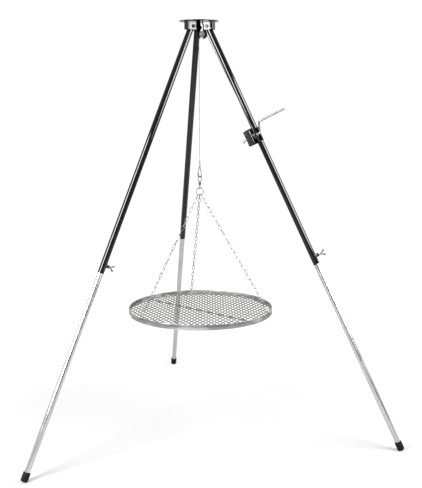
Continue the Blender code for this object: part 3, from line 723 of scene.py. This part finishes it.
def stand_in(node, shape, look, body, home=None, smooth=35):
    """The detailed piece for one CAD node."""
    return piece(node + "_detail", shape, look, body, home, (node,), smooth)


def radial(azimuth):
    """A frame on the middle axis with +X towards an azimuth."""
    return Matrix.Translation(AXIS) @ Matrix.Rotation(azimuth, 4, "Z")


def leg_frame(side):
    """Origin on the pivot bolt, +Z up along the tube, +X outwards."""
    return radial(AZIMUTHS[side]) @ shift(PIVOT_R, 0, PIVOT_Z) @ Matrix.Rotation(-LEAN, 4, "Y")


# ---------------------------------------------------------------- head
def make_head():
    radius = (PLATE_HIGH.x - PLATE_LOW.x) / 2
    low, high = PLATE_LOW.z, PLATE_HIGH.z
    profile = rounded([(0, high), (radius, high), (radius, low), (0, low)], 0.0011, 5)
    stand_in("head_plate", lathe(profile, 128), PLATE, "head", Matrix.Translation(AXIS))
    for side in AZIMUTHS:
        make_leg_bracket(side)
    make_pulley()


def make_leg_bracket(side):
    """A U of sheet steel round the leg's top, welded to the plate."""
    home = radial(AZIMUTHS[side])
    middle = BRACKET_HALF + BRACKET_T / 2
    far = BRACKET_OUT - BRACKET_T / 2
    path = rounded([(BRACKET_IN, -middle, 0), (far, -middle, 0), (far, middle, 0),
                    (BRACKET_IN, middle, 0)], 0.0035, 7)
    shell = sweep(path, sheet(BRACKET_T, BRACKET_LOW, BRACKET_TOP))
    hole = rod((PIVOT_R, -0.03, PIVOT_Z), (PIVOT_R, 0.03, PIVOT_Z), BOLT_R + GAP)
    stand_in("leg_bracket_" + side, cut(shell, hole), LACQUER, "head", home)

    start, aside = BRACKET_IN + 0.002, middle + 0.001
    bead_path = rounded([(start, -aside, 0), (BRACKET_OUT, -aside, 0), (BRACKET_OUT, aside, 0),
                         (start, aside, 0)], 0.0045, 6)
    bead = moved(weld_bead(bead_path, 0.0013, side), shift(z=PLATE_LOW.z - 0.0004))
    piece("bracket_weld_" + side, bead, LACQUER, "head", home)

    face = BRACKET_HALF + BRACKET_T + GAP
    near = shift(PIVOT_R, -face, PIVOT_Z) @ spin(90, "X")
    far_side = shift(PIVOT_R, face, PIVOT_Z) @ spin(-90, "X")
    stand_in("pivot_bolt_" + side, bolt(BOLT_HEAD_R, 0.005, BOLT_R, 2 * face + 0.0085), DARK,
             "head", home @ near, 25)
    stand_in("pivot_nut_" + side, nut(BOLT_HEAD_R, 0.0065, BOLT_R + GAP / 2), DARK, "head",
             home @ far_side, 25)


def rope_exit():
    """The pulley angle where the rope leaves for the spool, and both ends of that run."""
    spool_x = -0.0017
    down = WINCH_DOWN - 0.0088
    end_r = PIVOT_R + down * sin(LEAN) + spool_x * cos(LEAN)
    end_z = PIVOT_Z - down * cos(LEAN) + spool_x * sin(LEAN)
    dr, dz = end_r - PULLEY_X, end_z - PULLEY_Z
    angle = atan2(dz, dr) + pi / 2 - asin(WRAP_R / hypot(dr, dz))
    leaves = (PULLEY_X + WRAP_R * cos(angle), PULLEY_Z + WRAP_R * sin(angle))
    return angle, leaves, (end_r, end_z)


def make_pulley():
    """Grooved wheel between two drop-shaped cheeks, on a bolt with a broad washer."""
    home = radial(AZIMUTHS["right"])
    top, stand = BRACKET_TOP, spin(90, "X")
    half, bore, centre = 0.013, 0.0033, (PULLEY_X, PULLEY_Z)
    outline = [(-half, top), (half, top)] + arc(centre, CHEEK_R, radians(28), radians(-208), 40)
    hole = arc(centre, bore, 0, 2 * pi * 23 / 24, 23)
    cheek = moved(plate([outline, hole], CHEEK_T, 0.0004), stand)
    middle = CHEEK_IN + CHEEK_T / 2
    bridge = sweep([(-half, 0, 0), (half, 0, 0)],
                   sheet(2 * (CHEEK_IN + CHEEK_T), top - CHEEK_T, top))
    strap = united(bridge, moved(cheek, shift(y=-middle)), moved(cheek, shift(y=middle)))
    stand_in("pulley_bracket", strap, LACQUER, "head", home)

    face, washer_t = CHEEK_IN + CHEEK_T + GAP, 0.0012
    near = shift(PULLEY_X, -face, PULLEY_Z) @ spin(90, "X")
    # Painted shade: the washer's dark zinc stands for the shade under the head plate.
    stand_in("pulley_washer", tube(bore, 0.0125, 0, washer_t, 0.0003), SHADOW, "head",
             home @ near)
    stand_in("pulley_axle", bolt(0.0055, 0.004, 0.003, 2 * face + washer_t + GAP + 0.0075), DARK,
             "head", home @ near @ shift(z=washer_t + GAP), 25)
    stand_in("pulley_nut", nut(0.0055, 0.005, 0.0031), DARK, "head",
             home @ shift(PULLEY_X, face, PULLEY_Z) @ spin(-90, "X"), 25)

    bottom = WRAP_R - ROPE_R - GAP
    groove = arc((bottom + 0.0016, 0), 0.0016, radians(125), radians(235), 8)
    wheel = rounded([(bore, 0.0045), (0.0062, 0.0045), (0.0070, 0.0034), (0.0112, 0.0034),
                     (0.0122, 0.0045), (0.0175, 0.0045)], 0.0004, 2)
    wheel = [tuple(p) for p in wheel] + groove
    wheel += [(r, -z) for r, z in reversed(wheel[:-len(groove)])]
    # Painted shade: the wheel's dark zinc stands for the shade between the cheeks under the head
    # plate.
    stand_in("pulley_wheel", lathe(wheel), SHADOW, "pulley",
             home @ shift(PULLEY_X, 0, PULLEY_Z) @ stand)

    angle, leaves, ends = rope_exit()
    tip = 2 * GAP / WRAP_R
    wrap = [(r, 0, z) for r, z in arc((PULLEY_X, PULLEY_Z), WRAP_R, pi - tip, angle + tip, 60)]
    stand_in("pulley_cable", rope(wrap), WIRE, "head", home, 60)

    start, end = Vector((leaves[0], 0, leaves[1])), Vector((ends[0], 0, ends[1]))
    end.y = SHAFT_Y + WINDING_R - ROPE_R
    run = line(start + (end - start).normalized() * GAP, end, 0.0014)
    made = piece("winch_cable_detail", rope(run), WOUND, None, home, ("winch_cable",), 60)
    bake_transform(made)


def line(start, end, step):
    """Even points from start to end."""
    start, end = Vector(start), Vector(end)
    count = max(2, round((end - start).length / step))
    return [start + (end - start) * (i / count) for i in range(count + 1)]


# ---------------------------------------------------------------- legs
def make_leg(side):
    """Upper tube, clamp boss, wing screw, lower tube and rubber foot of one leg."""
    home, facing = leg_frame(side), BOSS_SIDES[side]
    upper = cut(tube(UPPER_BORE, UPPER_R, UPPER_END, UPPER_TOP),
                rod((0, -0.02, 0), (0, 0.02, 0), BOLT_R + GAP),
                rod((0, 0, BOSS_Z), (facing * 0.02, 0, BOSS_Z), SCREW_R + GAP, 24))
    stand_in("upper_leg_" + side, upper, LACQUER, "leg_" + side, home)

    to_boss = shift(z=BOSS_Z) @ spin(90 * facing, "Y")
    profile = rounded([(0, 0.010), (BOSS_R, 0.010), (BOSS_R, BOSS_OUT), (0, BOSS_OUT)], 0.0007, 3)
    boss = cut(moved(lathe(profile, 40), to_boss),
               rod((0, 0, BOSS_Z - 0.03), (0, 0, BOSS_Z + 0.03), UPPER_R + GAP / 3, 96),
               rod((0, 0, BOSS_Z), (facing * 0.04, 0, BOSS_Z), SCREW_R + GAP, 24))
    stand_in("clamp_boss_" + side, boss, LACQUER, "leg_" + side, home)
    ring_r = BOSS_R + 0.0004
    seam = [(facing * sqrt(UPPER_R ** 2 - (ring_r * sin(a)) ** 2), ring_r * sin(a),
             BOSS_Z + ring_r * cos(a)) for a in (2 * pi * i / 48 for i in range(48))]
    piece("boss_weld_" + side, weld_bead(seam, 0.0012, "boss" + side, (1, 0, 0), True, 0.0018),
          LACQUER, "leg_" + side, home)
    make_wing_screw(side, home @ to_boss)

    stand_in("lower_leg_" + side, tube(LOWER_BORE, LOWER_R, FOOT_END + FOOT_FLOOR + GAP,
                                       LOWER_TOP), TUBE, "foot_" + side, home)
    make_foot(side, home)


def make_wing_screw(side, home):
    """A pressed wing screw: threaded shank, hub and two rounded wings with raised edges."""
    hub = 0.0305
    shank = [(0, hub + 0.004), (SCREW_R, hub + 0.004)]
    shank += thread(SCREW_R, LOWER_R + 0.0012, hub - 0.005, 0.0009)
    shank += [(SCREW_R - 0.0009, LOWER_R + GAP), (0, LOWER_R + GAP)]
    hub_profile = rounded([(0, hub - 0.0045), (0.0048, hub - 0.0045), (0.0043, hub + 0.0048),
                           (0.0036, hub + 0.0058), (0, hub + 0.0058)], 0.0006, 3)
    wing = (0.0085, SCREW_OUT - hub - 0.0045)
    right = [(0.0, 0.0)] + arc(wing, 0.0045, radians(-35), radians(145), 18)
    right.append((0.0, 0.006))
    left = [(-x, y) for x, y in reversed(right[1:-1])]
    wings = moved(plate([right + left], 0.0022, 0.0006), shift(z=hub) @ spin(90, "X"))
    rims = []
    for sign in (1, -1):
        edge = [(sign * x, 0, hub + y)
                for x, y in arc(wing, 0.0038, radians(-20), radians(130), 14)]
        rims.append(bar(edge, 0.0014, (0, 1, 0), 10, 0.9))
    screw = united(lathe(shank, 24), lathe(hub_profile, 32), wings, *rims)
    stand_in("wing_screw_" + side, screw, ZINC, "screw_" + side, home)


def make_foot(side, home):
    """A rubber cap with a lip, a waist groove and a stepped tread, flat where it stands."""
    top, end, inner = FOOT_END + FOOT_LENGTH, FOOT_END, LOWER_R + GAP
    corners = [(0, end), (FOOT_R - 0.0014, end), (FOOT_R - 0.0012, end + 0.0042),
               (FOOT_R, end + 0.0050), (FOOT_R, top - 0.0046), (FOOT_R - 0.0006, top - 0.004),
               (FOOT_R, top - 0.0033), (FOOT_R, top), (inner, top), (inner, end + FOOT_FLOOR),
               (0, end + FOOT_FLOOR)]
    edges = [0, 0.0012, 0.0002, 0.0008, 0.0003, 0.0002, 0.0003, 0.0012, 0.0003, 0.0005, 0]
    cap = moved(lathe(rounded(corners, edges, 3)), home)
    ground = block((-1.2, -1.2, -0.1), (1.2, 1.2, 0.0))
    stand_in("foot_cap_" + side, cut(cap, ground), RUBBER, "foot_" + side, None)


# ---------------------------------------------------------------- winch
def make_winch():
    """Crank winch strapped to the right leg, its shaft across the leg's front."""
    home = leg_frame("right") @ shift(z=-WINCH_DOWN)
    low, high, web_t = WINCH_LOW, WINCH_HIGH, 0.002
    middle = WEB_Y - web_t / 2
    path = rounded([(-0.0365, middle, 0), (0.00675, middle, 0), (0.00675, -0.048, 0)], 0.003, 6)
    web = sweep(path, sheet(0.0022, low, high))
    shaft = rod((-0.05, SHAFT_Y, 0), (0.05, SHAFT_Y, 0), SHAFT_R + GAP)
    notch = rod((0.030, -0.06, high + 0.009), (0.030, 0.0, high + 0.009), 0.0285, 96)
    stand_in("winch_bracket", cut(web, shaft, notch), SATIN, "leg_right", home)

    face, web_face = -0.036, WEB_Y - web_t - GAP
    housing = block((face, -0.050, low), (-0.0109, web_face, -low), 0.0022, 5)
    stand_in("winch_housing", cut(housing, shaft), SATIN, "leg_right", home)
    head = lathe(rounded([(0, 0.0014), (0.0022, 0.0014), (0.0028, 0.0004), (0.0028, -0.001),
                          (0, -0.001)], 0.0005, 2), 24)
    head = cut(head, block((-0.0035, -0.0004, 0.0007), (0.0035, 0.0004, 0.01)))
    trim = [moved(head, shift(face, y, z) @ spin(-90, "Y"))
            for y in (-0.0455, -0.0215) for z in (low + 0.0055, -low - 0.0055)]
    piece("housing_screws", merged(*trim), DARK, "leg_right", home, smooth=30)
    bush = lathe(rounded([(SHAFT_R + GAP, 0), (0.0082, 0), (0.0074, 0.0018),
                          (SHAFT_R + GAP, 0.0018)], 0.0004, 3, closed=True))
    piece("shaft_bush", moved(bush, shift(face, SHAFT_Y, 0) @ spin(-90, "Y")), SATIN,
          "leg_right", home)

    outward_y, half = -0.052, 0.026
    corners = [(outward_y, -half), (web_face, -half), (web_face, half), (outward_y, half)]
    side = plate([rounded(corners, [0.003, 0.0008, 0.0008, 0.003], 5, closed=True),
                  arc((SHAFT_Y, 0), SHAFT_R + GAP, 0, 2 * pi * 31 / 32, 31)], 0.0015, 0.0003)
    upright = Matrix(((0, 0, 1, 0), (1, 0, 0, 0), (0, 1, 0, 0), (0, 0, 0, 1)))
    stand_in("winch_side_plate", side, ZINC, "leg_right", home @ shift(-0.00985) @ upright)

    band_r = UPPER_R + GAP + 0.00115
    back = [(x, y, 0) for x, y in arc((0, 0), band_r, 0, pi, 40)]
    path = [(band_r, WEB_Y + GAP, 0)] + back + [(-band_r, WEB_Y + GAP, 0)]
    band = sweep(path, sheet(0.0023, low + 0.004, high - 0.006, 0.0005))
    spread = 0.016
    holes = [rod((0, 0.010, z), (0, 0.030, z), 0.0028, 24) for z in (-spread, spread)]
    stand_in("winch_clamp", cut(band, *holes), SATIN, "leg_right", home)
    for label, z in (("upper", spread), ("lower", -spread)):
        place = shift(0, UPPER_R + 0.0026 + GAP, z) @ spin(-90, "X")
        stand_in("clamp_screw_" + label, bolt(0.005, 0.0038, 0.0025, 0.0026, 0.002), DARK,
                 "leg_right", home @ place, 25)
    make_crank(home @ shift(y=SHAFT_Y))


def make_crank(home):
    """Bent crank rod with its collar, and the spool with the rope wound on it."""
    turn = radians(50.0)
    arm, across = Vector((0, sin(turn), cos(turn))), Vector((1, 0, 0))
    bend = radians(35)
    tail = Vector((-0.047, 0, 0))
    plane, handle, reach, steps = across * 0.021, across * 0.136, arm * 0.075, 10
    corners = [tail + Vector((-cos(bend), 0, -sin(bend))) * 0.012, tail, plane, plane + reach,
               handle + reach]
    path = rounded(corners, [0, 0.012, 0.0095, 0.0065, 0], steps)
    shaft = steps + 1
    path[shaft:shaft + 2] = line(path[shaft], path[shaft + 1], 0.004)
    stand_in("crank_rod", twisted_bar(path, SHAFT_R, across.cross(arm)), CRANK, "crank", home)

    lie, bore = spin(90, "Y"), SHAFT_R + GAP
    stand_in("crank_collar", tube(bore, 0.0095, 0.0083, 0.0108, 0.0005), ZINC, "crank",
             home @ lie)
    flange, core = 0.0160, 0.0080
    spool = rounded([(flange, 0.0052), (flange, 0.0037), (core, 0.0037), (core, -0.0073),
                     (flange, -0.0073), (flange, -0.0088), (bore, -0.0088), (bore, 0.0052)],
                    0.0004, 3, closed=True)
    stand_in("winch_spool", lathe(spool), LACQUER, "crank", home @ lie)

    coils, turns, steps, low, high = [], 4, 40, -0.0070, 0.0034
    first = core + GAP + ROPE_R
    for layer, radius in enumerate((first, first + 0.0021, WINDING_R - ROPE_R)):
        spots, back = [], layer % 2
        for i in range(turns * steps + 1):
            share = i / (turns * steps)
            z = low + ROPE_R + share * (high - low - 2 * ROPE_R)
            a = 2 * pi * turns * share * (-1 if back else 1)
            spots.append((radius * cos(a), radius * sin(a), low + high - z if back else z))
        coils.append(sweep(spots, strands(ROPE_R, 6, 3), twist=ROPE_TWIST))
    # Painted shade: the spool's coils take the darker wire colour for the shade inside the winch
    # bracket.
    stand_in("spool_cable", merged(*coils), WOUND, "crank", home @ lie, 60)


# ---------------------------------------------------------------- rope end and swivel
def loop(half_width, half_height, count):
    """An oval in a vertical plane, as points with y = 0."""
    return [(half_width * sin(2 * pi * i / count), 0, half_height * cos(2 * pi * i / count))
            for i in range(count)]


def make_hanging_gear():
    """Rope drop, ferrule, rope eye, snap hook with gate, swivel and master ring."""
    axis = Matrix.Translation(AXIS)
    ferrule_top, ferrule_low = 1.1300, 1.1080
    drop = line((0, 0, PULLEY_Z - GAP), (0, 0, ferrule_top + GAP), 0.0014)
    made = piece("drop_cable_detail", rope(drop), WIRE, None, axis, ("drop_cable",), 60)
    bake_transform(made)

    half_r, pressed = 0.003, 0.00255
    profile = [(0, ferrule_top), (0.0019, ferrule_top), (0.0025, ferrule_top - 0.0006),
               (half_r, ferrule_top - 0.0018)]
    for middle in (1.1248, 1.1190, 1.1132):
        profile += [(half_r, middle + 0.0017), (pressed, middle + 0.0011),
                    (pressed, middle - 0.0011), (half_r, middle - 0.0017)]
    profile += [(half_r, ferrule_low + 0.0018), (0.0025, ferrule_low + 0.0006),
                (0.0019, ferrule_low), (0, ferrule_low)]
    stand_in("cable_ferrule", lathe(profile, 32), ZINC, "rope_end", axis)

    yaw, wire_r = -38, 0.0018
    top_r, top_z, base_r, base_z = 0.0040, 1.0987, 0.0080, 1.0720
    eye_low = top_z + top_r - wire_r - ROPE_R - GAP
    eye_top = ferrule_low - GAP - ROPE_R
    eye = loop(0.0036, (eye_top - eye_low) / 2, 40)
    turned = axis @ shift(z=(eye_low + eye_top) / 2) @ spin(yaw + 90, "Z")
    stand_in("cable_eye", rope(eye, True, 0), WIRE, "rope_end", turned, 60)

    home = axis @ spin(yaw, "Z")
    side = asin((base_r - top_r) / (top_z - base_z))
    path = arc((0, base_z), base_r, pi + side * 0.2, 2 * pi + side, 40)
    path += arc((0, top_z), top_r, side, radians(178), 26)
    hook = bar([(x, 0, z) for x, z in path], wire_r, (0, 1, 0), 20, 0.5)
    hinge_at = Vector((-base_r * cos(side), 0, base_z + base_r * sin(side) + 0.0030))
    lower = (-base_r + 0.0004, base_z - 0.0012)
    ear = arc(lower, 0.0021, radians(-180), radians(-10), 12)
    ear += arc((hinge_at.x, hinge_at.z), 0.0021, radians(0), radians(180), 12)
    rivet = lathe(rounded([(0, 0.0010), (0.0012, 0.0010), (0.0014, 0), (0, 0)], 0.0003, 2), 20)
    fork = []
    for sign in (1, -1):
        fork.append(moved(plate([ear], 0.0009, 0.0002), shift(y=sign * 0.0022) @ spin(90, "X")))
        fork.append(moved(rivet, shift(hinge_at.x, sign * 0.0025, hinge_at.z)
                          @ spin(-90 * sign, "X")))
    stand_in("snap_hook", merged(hook, *fork), DULL, "rope_end", home)
    nose = Vector((top_r * cos(radians(165)), 0, top_z + top_r * sin(radians(165))))
    reach = nose - hinge_at
    length = reach.length - 0.0023
    gate = [Vector(), *[reach.normalized() * (length * k / 8) for k in range(1, 9)]]
    stand_in("snap_gate", bar(gate, 0.0015, (0, 1, 0), 18, 0.6), DULL, "gate",
             home @ Matrix.Translation(hinge_at))

    make_swivel(axis)


def make_swivel(axis):
    """Swivel eye with its riveted stem, turning barrel with a link, and the master ring."""
    top, low = 1.0681, 1.0448
    eye = moved(sweep(loop(0.0085, (top - low) / 2, 56), circle(0.0016, 18), (0, 1, 0), True),
                shift(z=(top + low) / 2))
    stem = lathe([(0, low), (0.0018, low), (0.0018, 1.0392), (0.0027, 1.0390), (0.0030, 1.0384),
                  (0.0030, 1.0372), (0.0026, 1.0366), (0, 1.0366)], 32)
    shoulder = lathe(rounded([(0, low + 0.0022), (0.0026, low + 0.0018), (0.0034, low - 0.0008),
                              (0, low - 0.0012)], 0.0006, 3), 32)
    stand_in("swivel_eye", united(eye, stem, shoulder), DULL, "hanger", axis @ spin(22, "Z"))

    barrel = [(0, 1.0355), (0.0034, 1.0355), (0.0034, 1.0396), (0.0022, 1.0402),
              (0.0022, 1.0425), (0.0040, 1.0425), (0.0048, 1.0423), (0.0060, 1.0412),
              (0.0061, 1.0400), (0.0060, 1.0385), (0.0052, 1.0362), (0.0040, 1.0325),
              (0.0032, 1.0302), (0.0024, 1.0290), (0, 1.0290)]
    link = moved(sweep(loop(0.0050, 0.0068, 44), circle(0.0014, 16), (0, 1, 0), True),
                 shift(z=1.0230) @ spin(90, "Z"))
    stand_in("swivel_barrel", united(lathe(barrel, 40), link), DULL, "grate", axis)
    ring = sweep(loop(RING_R, RING_R, 72), circle(RING_WIRE, 20), (0, 1, 0), True)
    seam = sweep([(x, 0, z) for x, z in arc((0, 0), RING_R, radians(40), radians(52), 6)],
                 circle(RING_WIRE + 0.00025, 20), (0, 1, 0))
    stand_in("master_ring", merged(ring, seam), ZINC, "grate", axis @ shift(z=RING_Z))


# ---------------------------------------------------------------- chains and grate
def chain_link(pitch, width, wire):
    """A welded link in the XZ plane, with Z along the chain and its weld on one side."""
    bend = width / 2 - wire
    straight = pitch / 2 + wire - bend
    path = [(x, 0, straight + z) for x, z in arc((0, 0), bend, 0, pi, 8)]
    path += [(x, 0, -straight + z) for x, z in arc((0, 0), bend, pi, 2 * pi, 8)]
    weld = bar([(bend, 0, -0.0014), (bend, 0, -0.0007), (bend, 0, 0.0007), (bend, 0, 0.0014)],
               wire * 1.22, (0, 1, 0), 10, 0.8)
    return merged(sweep(path, circle(wire, 10), (0, 1, 0), True), weld)


def make_chain(side, axis):
    """Long-link chain from the master ring to an open ring through the rim."""
    turn = Matrix.Rotation(AZIMUTHS[side] + CHAIN_TURN, 4, "Z")
    hook_x, hook_z = GRATE_R - RIM_T / 2, HOOK_HOLE_Z + HOOK_R
    low = radians({"left": -118, "rear": -92, "right": -70}[side])
    start = Vector((RING_R * cos(low), 0, RING_Z + RING_R * sin(low)))
    slip = 0.0035
    end = turn @ Vector((hook_x - slip, 0, hook_z + sqrt(HOOK_R ** 2 - slip ** 2)))
    chance = Random("chain" + side)
    wire, width, wanted = 0.0011, 0.0115, 0.0213
    down = (end - start).normalized()
    length = (end - start).length + RING_WIRE + HOOK_WIRE
    count = round(length / wanted)
    pitch = length / count
    first = down.cross(Vector((-sin(low), 0, cos(low)))).normalized()
    last = down.cross(turn.to_3x3() @ Vector((1, 0, slip / HOOK_R))).normalized()
    aside = down.cross(first)
    swing = atan2(last.dot(aside), last.dot(first)) - (count - 1) * pi / 2
    swing = (swing + pi / 2) % pi - pi / 2
    link = chain_link(pitch, width, wire)
    links = []
    for i in range(count):
        loose = chance.uniform(-0.16, 0.16) if 0 < i < count - 1 else 0.0
        angle = i * pi / 2 + swing * i / (count - 1) + loose
        across = first * cos(angle) + aside * sin(angle)
        flat = down.cross(across)
        spot = start + down * (pitch * (i + 0.5) - RING_WIRE)
        links.append(moved(link, Matrix(((across.x, flat.x, down.x, spot.x),
                                         (across.y, flat.y, down.y, spot.y),
                                         (across.z, flat.z, down.z, spot.z), (0, 0, 0, 1)))))
    stand_in("chain_" + side, merged(*links), ZINC, "grate", axis)
    ring = [(hook_x + HOOK_R * cos(a), 0, hook_z + HOOK_R * sin(a))
            for a in (radians(34) + radians(344) * i / 48 for i in range(49))]
    stand_in("rim_hook_" + side, bar(ring, HOOK_WIRE, (0, 1, 0), 16, 0.4), ZINC, "grate",
             axis @ turn)
    return moved(rod((GRATE_R - 0.01, 0, HOOK_HOLE_Z), (GRATE_R + 0.01, 0, HOOK_HOLE_Z), 0.0028,
                     24), turn)


def make_expanded_metal(axis):
    """Strands that zigzag from front to back and join side by side at the knuckles."""
    outer = GRATE_R - RIM_T + 0.0001
    pitch, half_deep = MESH_ACROSS / 2, MESH_DEEP / 2
    strand, thick, knuckle = 0.0036, 0.0034, 0.0036
    across = pitch / 2 - strand / 2
    tilt = radians(46)
    shapes = []
    columns = int(outer / pitch) + 2
    for column in range(-columns, columns + 1):
        centre = (column + 0.5) * pitch
        corners = []
        rows = int(outer / half_deep) + 2
        for row in range(-rows, rows + 1):
            side = 1 if (row + column) % 2 else -1
            x = centre + side * across
            corners += [(x, row * half_deep - knuckle / 2, side),
                        (x, row * half_deep + knuckle / 2, side)]
        run = []
        for (x0, y0, s0), (x1, y1, s1) in zip(corners, corners[1:]):
            steps = 1 if s0 == s1 else 6
            run += [(x0 + (x1 - x0) * k / steps, y0 + (y1 - y0) * k / steps,
                     0 if s0 == s1 else (s1 - s0) / 2 * sin(pi * k / steps))
                    for k in range(steps)]
        inside, beyond = [], (0, 2 * outer, 0)
        for spot in run + [beyond]:
            if hypot(spot[0], spot[1]) < outer - 0.0012:
                inside.append(spot)
            else:
                if len(inside) > 2:
                    shapes.append(strand_shape(inside, strand, thick, tilt, outer))
                inside = []
    middle = MESH_TOP - MESH_T / 2
    stand_in("grate_mesh", moved(merged(*shapes), Matrix.Rotation(MESH_TURN, 4, "Z")), MESH,
             "grate", axis @ shift(z=middle), 30)


def strand_shape(spots, width, thick, tilt, outer):
    """One strand; its face leans where it slopes, and its ends reach the rim."""
    ends = []
    for inner, spot in ((spots[1], spots[0]), (spots[-2], spots[-1])):
        step = Vector((spot[0] - inner[0], spot[1] - inner[1])).normalized()
        at = Vector(spot[:2])
        reach = -at.dot(step) + sqrt(max(0.0, at.dot(step) ** 2 - at.length_squared + outer ** 2))
        ends.append((*(at + step * min(reach, 0.012)), spot[2]))
    spots = [ends[0]] + list(spots) + [ends[1]]
    section, rings = sheet(width, -thick / 2, thick / 2), []
    for i, (x, y, lean) in enumerate(spots):
        a, b = spots[max(i - 1, 0)], spots[min(i + 1, len(spots) - 1)]
        along = Vector((b[0] - a[0], b[1] - a[1], 0)).normalized()
        across, up = Vector((along.y, -along.x, 0)), Vector((0, 0, 1))
        c, s = cos(tilt * lean), sin(tilt * lean)
        flat, rise = across * c + up * s, up * c - across * s
        rings.append([Vector((x, y, 0)) + flat * u + rise * v for u, v in section])
    return skinned(rings)


def make_grate():
    """Rim band, expanded metal, the bar below it, weld spots, and the three chains."""
    axis = Matrix.Translation(AXIS)
    holes = [make_chain(side, axis) for side in AZIMUTHS]
    band = tube(GRATE_R - RIM_T, GRATE_R, RIM_LOW, RIM_TOP, 0.0006, 256)
    stand_in("grate_rim", cut(band, *holes), RIM, "grate", axis)
    seam_at = radians(118)
    joint = [(GRATE_R * cos(seam_at), GRATE_R * sin(seam_at), z)
             for z in (RIM_LOW + 0.001, RIM_TOP - 0.001)]
    out = Vector((cos(seam_at), sin(seam_at), 0))
    piece("rim_seam", weld_bead(joint, 0.0008, "seam", out), RIM, "grate", axis)

    spots, chance, count = [], Random("spots"), 30
    half = GRATE_R - RIM_T - 0.0008
    lump = lathe([(0, 0.0012), (0.0011, 0.0009), (0.0019, 0.0002), (0.0021, -0.0006),
                  (0, -0.0008)], 12)
    for i in range(count):
        a = 2 * pi * i / count + chance.uniform(-0.04, 0.04)
        spots.append(moved(lump, Matrix.Rotation(a, 4, "Z") @ shift(half, 0, MESH_TOP - 0.0006)
                           @ Matrix.Diagonal((0.8, chance.uniform(1.2, 2.0), 1, 1))))
    piece("rim_weld_spots", merged(*spots), TINT, "grate", axis, smooth=60)

    low = MESH_TOP - MESH_T - GAP - BAR_R
    reach = Vector((half * cos(BAR_AZIMUTH), half * sin(BAR_AZIMUTH), 0))
    rise = Vector((0, 0, low))
    stand_in("grate_cross_bar", bar(line(rise - reach, rise + reach, 0.03), BAR_R, (0, 0, 1), 24,
                                    0.3), MESH, "grate", axis)
    make_expanded_metal(axis)


# ---------------------------------------------------------------- the whole scene
camera()
studio()
floor()
make_head()
for name in AZIMUTHS:
    make_leg(name)
make_winch()
make_hanging_gear()
make_grate()
